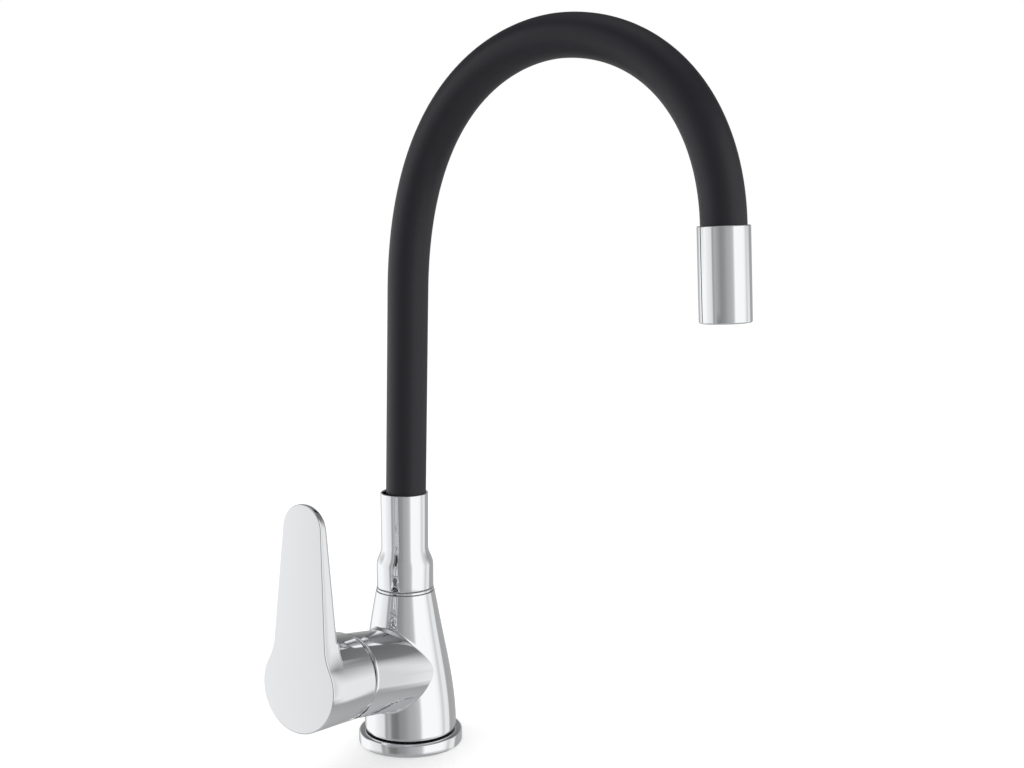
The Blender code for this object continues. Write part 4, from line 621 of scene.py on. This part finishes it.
def lever_outline():
    """Right half of the face, tip to foot, as (point, way out) pairs."""
    tip_centre = Vector((0, ARM_TIP - ARM_TIP_RADIUS))
    to_root = ARM_ROOT - tip_centre
    side_turn = math.atan2(to_root.y, to_root.x) + math.acos(ARM_TIP_RADIUS / to_root.length)
    side = facing(side_turn)
    down_side = Vector((side.y, -side.x))
    tip_end = tip_centre + side * ARM_TIP_RADIUS
    offset = tip_end + side * ARM_SHOULDER
    middle = -offset.dot(down_side)
    reach = FACE_RADIUS + ARM_SHOULDER
    down = middle - math.sqrt(reach**2 - (offset + down_side * middle).length_squared)
    shoulder = offset + down_side * down
    face_turn = math.atan2(shoulder.y, shoulder.x)
    corner = math.tau / FACE_SIDES
    first, last = math.ceil(face_turn / corner) - 1, -FACE_SIDES // 4
    pairs = []
    for turn in spread(QUARTER, side_turn, TIP_STEPS):
        pairs.append((tip_centre + facing(turn) * ARM_TIP_RADIUS, facing(turn)))
    for far in spread(0, down, SIDE_STEPS)[1:-1]:
        pairs.append((tip_end + down_side * far, side))
    for turn in spread(side_turn, face_turn, SHOULDER_STEPS):
        pairs.append((shoulder - facing(turn) * ARM_SHOULDER, facing(turn)))
    for i in range(first, last - 1, -1):
        pairs.append((facing(corner * i) * FACE_RADIUS, facing(corner * i)))
    return with_fillet_rows(pairs)


def with_fillet_rows(pairs):
    """The outline with more pairs where the arm's fillet into the hub needs rows of corners."""
    top = FACE_RADIUS + ARM_FILLET
    rows = [top - ARM_FILLET * math.sin(turn) for turn in spread(0, QUARTER, FILLET_ROWS)]
    dense = [pairs[0]]
    for (a, way_a), (b, way_b) in zip(pairs, pairs[1:]):
        for row in rows:
            if a.y - MERGE > row > b.y + MERGE:
                share = (a.y - row) / (a.y - b.y)
                dense.append((a.lerp(b, share), way_a.lerp(way_b, share).normalized()))
        dense.append((b, way_b))
    return dense


def arm_thickness(up):
    drop = min(ARM_FILLET, max(0.0, FACE_RADIUS + ARM_FILLET - up))
    sunk = ARM_FILLET - math.sqrt(ARM_FILLET**2 - drop**2)
    return ARM_TIP_THICKNESS + ARM_THICKENING * (ARM_TIP - up) + sunk


def lever_loop(outline, inset, depth_at):
    """The whole outline, drawn in and set back from the face by a depth that depends on the height."""
    right = []
    for point, way in outline:
        depth = depth_at(point.y)
        moved = point - way * (inset + DRAFT * depth)
        right.append(Vector((max(0.0, moved.x), moved.y, FACE_OUT - depth)))
    right[0].x = right[-1].x = 0.0
    return right + [Vector((-p.x, p.y, p.z)) for p in reversed(right[1:-1])]


def skin_lever(loops):
    """The plate, its caps filled row by row. Built corner by corner, because its back is a curved strip."""
    count = len(loops[0])
    corners = [point for loop in loops for point in loop]
    faces = []
    for row in range(len(loops) - 1):
        for i in range(count):
            low, high, after = row * count, (row + 1) * count, (i + 1) % count
            faces.append((low + i, low + after, high + after, high + i))
    for row in (0, len(loops) - 1):
        for i in range(count // 2):
            face = dict.fromkeys((i, i + 1, -(i + 1) % count, -i % count))
            faces.append(tuple(row * count + corner for corner in face))
    clear_selection()
    bpy.ops.mesh.primitive_circle_add(vertices=4, radius=OVERRUN)
    made = bpy.context.object
    made.name = "lever_handle_plated"
    mesh = bpy.data.meshes.new("lever_handle_plated")
    mesh.from_pydata(corners, [], faces)
    made.data = mesh
    finish_mesh(made, CAST_CHROME)
    made.data.transform(LEVER_BODY)
    return made


def hub_radius(out):
    return FACE_RADIUS - DRAFT * (FACE_OUT - out) - HIDDEN_STEP


def make_lever():
    outline = lever_outline()
    turns = spread(0, QUARTER, EDGE_STEPS)
    front = [(FACE_EDGE * (1 - math.sin(t)), FACE_EDGE * (1 - math.cos(t))) for t in turns]
    back = [(BACK_EDGE * (1 - math.cos(t)), BACK_EDGE * (1 - math.sin(t))) for t in turns]
    loops = [lever_loop(outline, inset, lambda up, depth=depth: depth) for inset, depth in front]
    loops += [
        lever_loop(outline, inset, lambda up, rest=rest: arm_thickness(up) - rest) for inset, rest in back
    ]
    lever = skin_lever(loops)
    rim_radius, hub_top = hub_radius(HUB_RIM), FACE_OUT - HUB_SUNK
    hub = [(0, HUB_RIM)]
    hub += arc((rim_radius - HUB_EDGE, HUB_RIM + HUB_EDGE), HUB_EDGE, -QUARTER, 0, HUB_EDGE_STEPS)
    hub += [(hub_radius(hub_top), hub_top), (0, hub_top)]
    join_solids(lever, lathe("hub", hub, matrix=LEVER_BODY, sides=FACE_SIDES), "UNION")
    wall = rim_radius - HUB_WALL
    cavity = [(0, BOSS_BOTTOM), (BOSS_RADIUS, BOSS_BOTTOM), (BOSS_RADIUS, HUB_FLOOR), (wall, HUB_FLOOR)]
    cavity += [(wall, HUB_RIM - OVERRUN), (0, HUB_RIM - OVERRUN)]
    join_solids(lever, lathe("hub_cavity", cavity, matrix=LEVER_BODY), "DIFFERENCE")
    half = SPINDLE_HOLE
    square = ((-half, -half), (half, -half), (half, half), (-half, half))
    square_loops = [[Vector((x, y, z)) for x, y in square] for z in (BOSS_BOTTOM - OVERRUN, SPINDLE_HOLE_TOP)]
    join_solids(lever, stretch_through("spindle_hole", square_loops, matrix=LEVER_FRAME), "DIFFERENCE")
    screw_way = LEVER_FRAME @ Matrix.Translation((0, 0, SCREW_OUT)) @ Matrix.Rotation(math.pi, 4, "Z")
    screw_way = screw_way @ Matrix.Rotation(-SCREW_TILT - QUARTER, 4, "X")
    screw_hole = drill("screw_hole", SCREW_HOLE, SCREW_HOLE_START, SCREW_HOLE_END, screw_way)
    join_solids(lever, screw_hole, "DIFFERENCE")
    pick(lever)
    finish_mesh(lever, CAST_CHROME)
    install(lever, "lever", "chrome", "lever_handle")


# Spout


def make_ferrule():
    low = FERRULE_FOOT + FERRULE_LOWER_HEIGHT
    waist = FERRULE_MOUTH + FERRULE_LIP - FERRULE_WAIST
    top = FERRULE_FOOT + FERRULE_HEIGHT
    outline = [(FERRULE_LOWER_BORE, FERRULE_FOOT)]
    foot_edge = (FERRULE_LOWER_RADIUS - FERRULE_EDGE, FERRULE_FOOT + FERRULE_EDGE)
    outline += arc(foot_edge, FERRULE_EDGE, -QUARTER, 0, FERRULE_EDGE_STEPS)
    for share in spread(0, 1, FERRULE_SHOULDER_STEPS):
        ease = (1 - math.cos(math.pi * share)) / 2
        radius = FERRULE_LOWER_RADIUS + (waist - FERRULE_LOWER_RADIUS) * ease
        outline.append((radius, low + FERRULE_SHOULDER * share))
    lip = FERRULE_LIP / 2
    outline += arc((FERRULE_MOUTH + lip, top - lip), lip, 0, math.pi, FERRULE_LIP_STEPS)
    step = FERRULE_FOOT + FERRULE_STEP
    outline += [(FERRULE_MOUTH, step), (FERRULE_LOWER_BORE, step)]
    ferrule = lathe("spout_ferrule_plated", outline, TUBE_CHROME, SPOUT_AXIS)
    install(ferrule, "spout", "chrome", "spout_ferrule")


def make_swivel_bead():
    """The plated slip ring that turns with the ferrule, seen as a narrow band between two fine joints."""
    low, high = NECK_TOP + BEAD_JOINT, FERRULE_FOOT - BEAD_JOINT
    outline = [(BEAD_BORE, low)]
    outline += arc((BEAD_RADIUS - BEAD_EDGE, low + BEAD_EDGE), BEAD_EDGE, -QUARTER, 0, BEAD_EDGE_STEPS)
    outline += arc((BEAD_RADIUS - BEAD_EDGE, high - BEAD_EDGE), BEAD_EDGE, 0, QUARTER, BEAD_EDGE_STEPS)
    outline.append((BEAD_BORE, high))
    install(lathe("swivel_bead", outline, TUBE_CHROME, SPOUT_AXIS), "spout", "chrome", "spout_ferrule")


def spout_route():
    """Points along the spout's middle line, and the length along it to each of them.

    Also gives the lengths where the arch begins and ends, and the point where it meets the outlet.
    """
    foot = Vector((0, -SPOUT_FORWARD, ROUTE_FOOT))
    bend = Vector((0, -SPOUT_FORWARD, BEND_FOOT))
    lean = math.atan(RISER_SLOPE)
    up = Vector((math.sin(lean), 0, math.cos(lean)))
    arch = bend + up * RISER_LENGTH
    apex = arch + Vector((APEX[0], 0, APEX[1]))
    mouth = apex + Vector((OUTLET_REACH, 0, -OUTLET_FALL))
    out = Vector((math.sin(OUTLET_TILT), 0, -math.cos(OUTLET_TILT)))
    rising = (arch, arch + up * RISING_HANDLE, apex - Vector((APEX_BACK, 0, 0)), apex)
    falling = (apex, apex + Vector((APEX_ON, 0, 0)), mouth - out * FALLING_HANDLE, mouth)
    shares = spread(0, 1, ROUTE_STEPS)
    points = [foot, *(bend + up * (RISER_LENGTH * share) for share in shares)]
    arch_index = len(points) - 1
    points += [curve_point(rising, share) for share in shares[1:]]
    points += [curve_point(falling, share) for share in shares[1:]]
    end_index = len(points) - 1
    points.append(mouth + out * OUTLET_LENGTH)
    lengths = [0.0]
    for a, b in zip(points, points[1:]):
        lengths.append(lengths[-1] + (b - a).length)
    return points, lengths, lengths[arch_index], lengths[end_index], mouth


POINTS, LENGTHS, ARCH_AT, END_AT, MOUTH = spout_route()


def route_at(length):
    """The point at a length along the route, and the way on from there."""
    index = 1
    while index < len(POINTS) - 1 and LENGTHS[index] < length:
        index += 1
    a, b = POINTS[index - 1], POINTS[index]
    share = (length - LENGTHS[index - 1]) / (LENGTHS[index] - LENGTHS[index - 1])
    before, after = POINTS[max(0, index - 2)], POINTS[min(len(POINTS) - 1, index + 1)]
    way = (b - before).normalized().lerp((after - a).normalized(), min(1.0, max(0.0, share)))
    return a.lerp(b, share), way.normalized()


def tube_piece(name, start, end, radius, bore, sides, look):
    """A length of tube that follows the route."""
    places = spread(start, end, max(2, round((end - start) / ROW_SPACING)))
    turns = spread(0, math.tau, sides)[:-1]
    side = Vector((0, 1, 0))
    loops = []
    for places_on, size in ((places, radius), (places[::-1], bore)):
        for place in places_on:
            point, way = route_at(place)
            over = side.cross(way).normalized()
            loops.append([point + (over * math.cos(t) + side * math.sin(t)) * size for t in turns])
    return stretch_through(name, loops, look, closed=True)


def make_bendable_tubes():
    """Sleeve and water hose, in six pieces each that meet in the middle of a link."""
    hinges = spread(ARCH_AT - FIRST_HINGE, END_AT - LAST_HINGE, LINKS)
    middles = [(a + b) / 2 for a, b in zip(hinges, hinges[1:])]
    sleeve = (SLEEVE_RADIUS, SLEEVE_BORE, SLEEVE_SIDES, SILICONE)
    hose = (HOSE_RADIUS, HOSE_BORE, HOSE_SIDES, RUBBER)
    tubes = (
        ("sleeve", "silicone_sleeve", "silicone", SLEEVE_FOOT, END_AT + SLEEVE_INSERT, sleeve),
        ("water_hose", "inner_hose", "rubber", HOSE_FOOT, END_AT + HOSE_END, hose),
    )
    for name, node, slot, foot, end, make in tubes:
        cuts = [foot - ROUTE_FOOT, *middles, end]
        for i, hinge in enumerate(hinges):
            piece = tube_piece(f"{name}_{i + 1}", cuts[i], cuts[i + 1], *make)
            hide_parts(node)
            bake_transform(piece)


def make_outlet():
    matrix = Matrix.Translation(MOUTH) @ Matrix.Rotation(math.pi - OUTLET_TILT, 4, "Y")
    lip = (OUTLET_RADIUS - OUTLET_BORE) / 2
    far_edge = (OUTLET_RADIUS - OUTLET_EDGE, OUTLET_LENGTH - OUTLET_EDGE)
    outline = [(OUTLET_BORE, 0.0)]
    outline += arc((OUTLET_RADIUS - lip, lip), lip, -QUARTER, 0, OUTLET_LIP_STEPS)
    outline += arc(far_edge, OUTLET_EDGE, 0, QUARTER, OUTLET_EDGE_STEPS)
    outline += [(OUTLET_BORE, OUTLET_LENGTH)]
    install(lathe("outlet_shell_plated", outline, TUBE_CHROME, matrix), "outlet", "chrome", "outlet_shell")


NODE_LOOKS = {
    "chrome": CAST_CHROME,
    "brass": BRASS,
    "steel": STEEL,
    "silicone": SILICONE,
    "rubber": RUBBER,
    "ceramic": CERAMIC,
    "acetal": WHITE_ACETAL,
    "black_acetal": BLACK_ACETAL,
}


def dress_cad_nodes():
    """Gives each CAD node that stays visible the material of its slot in the record."""
    for part in frame["record"]["subparts"]:
        for slot in frame["nodes"][part["node"]].material_slots:
            slot.material = NODE_LOOKS[part["material_slot"]]


# Studio


def make_floor():
    """A pale floor that takes the shadow and that the chrome doesn't mirror."""
    clear_selection()
    bpy.ops.mesh.primitive_circle_add(
        vertices=FLOOR_SIDES, radius=FLOOR_RADIUS, fill_type="NGON", location=(0, 0, -FLOOR_DROP)
    )
    floor = bpy.context.object
    floor.name = "studio_floor"
    look = bpy.data.materials.new("white_floor")
    look.use_nodes = True
    tree = look.node_tree
    tree.nodes.clear()
    paint = add(tree, "ShaderNodeBsdfDiffuse", values={"Color": linear("#F4F4F4")})
    glow = add(tree, "ShaderNodeEmission", values={"Color": grey(1), "Strength": FLOOR_GLOW})
    lit = add(tree, "ShaderNodeAddShader", links={0: paint.outputs[0], 1: glow.outputs[0]})
    clear = add(tree, "ShaderNodeBsdfTransparent")
    glossy = add(tree, "ShaderNodeLightPath").outputs["Is Glossy Ray"]
    mix = add(tree, "ShaderNodeMixShader", links={0: glossy, 1: lit.outputs[0], 2: clear.outputs[0]})
    add(tree, "ShaderNodeOutputMaterial", links={"Surface": mix.outputs[0]})
    floor.data.materials.append(look)


def grey_ramp(tree, stops, source):
    """Greys at places from 0 to 1, blended between."""
    ramp = add(tree, "ShaderNodeValToRGB", links={"Fac": source})
    points = ramp.color_ramp.elements
    points.remove(points[1])
    points[0].position = stops[0][0]
    points[0].color = grey(stops[0][1])
    for place, value in stops[1:]:
        points.new(place).color = grey(value)
    return ramp.outputs["Color"]


def make_room():
    """What the chrome mirrors: white windows at the sides, grey gaps in front and behind, a dark ceiling.

    Each stop is an angle and a brightness. Angles are in degrees, round from the camera's side towards the
    picture's right, or up from level.
    """
    world = bpy.data.worlds.new("studio")
    bpy.context.scene.world = world
    world.use_nodes = True
    tree = world.node_tree
    tree.nodes.clear()
    coords = add(tree, "ShaderNodeTexCoord")
    turned = add(
        tree,
        "ShaderNodeVectorRotate",
        {"rotation_type": "Z_AXIS"},
        {"Angle": QUARTER - CAMERA_AZIMUTH},
        {"Vector": coords.outputs["Generated"]},
    )
    split = add(tree, "ShaderNodeSeparateXYZ", links={"Vector": turned.outputs["Vector"]})
    heading = add(
        tree, "ShaderNodeMath", {"operation": "ARCTAN2"}, links={0: split.outputs["Y"], 1: split.outputs["X"]}
    )

    def ranged(source, low, high):
        limits = {"From Min": low, "From Max": high}
        return add(tree, "ShaderNodeMapRange", values=limits, links={"Value": source}).outputs["Result"]

    turn_share = ranged(heading.outputs[0], -math.pi, math.pi)
    height_share = ranged(split.outputs["Z"], -1.0, 1.0)

    def around(*stops):
        return grey_ramp(tree, [(0.5 + degrees / 360, value) for degrees, value in stops], turn_share)

    def upwards(*stops):
        places = [(0.5 + math.sin(math.radians(degrees)) / 2, value) for degrees, value in stops]
        return grey_ramp(tree, places, height_share)

    def mixed(factor, a, b, blend="MIX"):
        settings = {"data_type": "RGBA", "blend_type": blend}
        made = add(tree, "ShaderNodeMix", settings, links={"Factor": factor, "A": a, "B": b})
        return made.outputs["Result"]

    # Brightness of the walls, of a flag low on the left, and of the ceiling and floor
    walls = around(
        (-180, 0.45), (-152, 0.50), (-136, 1.0), (-102, 1.0), (-88, 0.88), (-66, 0.76), (-60, 0.34),
        (-50, 0.44), (-24, 0.26), (-10, 0.30), (4, 0.40), (16, 0.44), (28, 0.54), (36, 1.0), (74, 1.0),
        (86, 0.92), (95, 0.66), (100, 0.68), (104, 0.84), (118, 0.82), (123, 0.38), (150, 0.40), (180, 0.45),
    )
    shade = around((-50, 1.0), (-42, 0.55), (-30, 0.60), (-22, 1.0))
    above = upwards((-90, 0.50), (-32, 0.34), (-20, 0.42), (17, 0.22), (42, 0.12), (60, 0.30), (90, 0.6))
    # How much of each is seen: the flag below a height, the walls between two heights in front and behind
    low_shade = upwards((-30, 1.0), (-11, 1.0), (-8, 0.0))
    front = upwards((-29, 0.0), (-25, 1.0), (30, 1.0), (44, 0.0))
    rear = upwards((-35, 0.0), (-30, 1.0), (-6, 1.0), (22, 0.0))
    behind = around((-112, 1.0), (-98, 0.0), (98, 0.0), (112, 1.0))
    shaded = mixed(low_shade, walls, shade, "MULTIPLY")
    room = mixed(mixed(behind, front, rear), above, shaded)

    # Only reflections show the room: the light on matte surfaces is even, and the camera sees white
    ray = add(tree, "ShaderNodeLightPath").outputs
    colours = {"data_type": "RGBA"}
    mirrored = {"Factor": ray["Is Glossy Ray"], "B": room}
    even = add(tree, "ShaderNodeMix", colours, {"A": grey(ROOM_LIGHT)}, mirrored)
    viewed = {"Factor": ray["Is Camera Ray"], "A": even.outputs["Result"]}
    seen = add(tree, "ShaderNodeMix", colours, {"B": grey(1)}, viewed)
    background = add(tree, "ShaderNodeBackground", links={"Color": seen.outputs["Result"]})
    add(tree, "ShaderNodeOutputWorld", links={"Surface": background.outputs[0]})


def make_softbox():
    clear_selection()
    bpy.ops.object.light_add(type="AREA", location=SOFTBOX_PLACE)
    lamp = bpy.context.object
    lamp.name = "overhead_softbox"
    lamp.data.name = "overhead_softbox"
    lamp.rotation_euler = (Vector(SOFTBOX_AIM) - Vector(SOFTBOX_PLACE)).to_track_quat("-Z", "Y").to_euler()
    lamp.data.shape = "DISK"
    lamp.data.size = SOFTBOX_SIZE
    lamp.data.energy = SOFTBOX_POWER
    lamp.visible_glossy = False
    lamp.visible_camera = False


def make_camera():
    toward = Vector((math.sin(CAMERA_AZIMUTH), -math.cos(CAMERA_AZIMUTH), 0))
    across = Vector((math.cos(CAMERA_AZIMUTH), math.sin(CAMERA_AZIMUTH), 0))
    place = Vector((0, -SPOUT_FORWARD, CAMERA_HEIGHT)) + toward * CAMERA_BACK + across * CAMERA_ACROSS
    clear_selection()
    bpy.ops.object.camera_add(location=place, rotation=(QUARTER - CAMERA_DIP, 0, CAMERA_AZIMUTH))
    camera = bpy.context.object
    camera.name = "photo_camera"
    camera.data.sensor_width = SENSOR_MM
    camera.data.lens = LENS_MM
    bpy.context.scene.camera = camera


make_body()
make_foot_gap_shade()
make_ring()
make_dome()
make_lever()
make_ferrule()
make_swivel_bead()
make_bendable_tubes()
make_outlet()
dress_cad_nodes()
make_floor()
make_room()
make_softbox()
make_camera()
bpy.context.scene.view_settings.view_transform = "Standard"
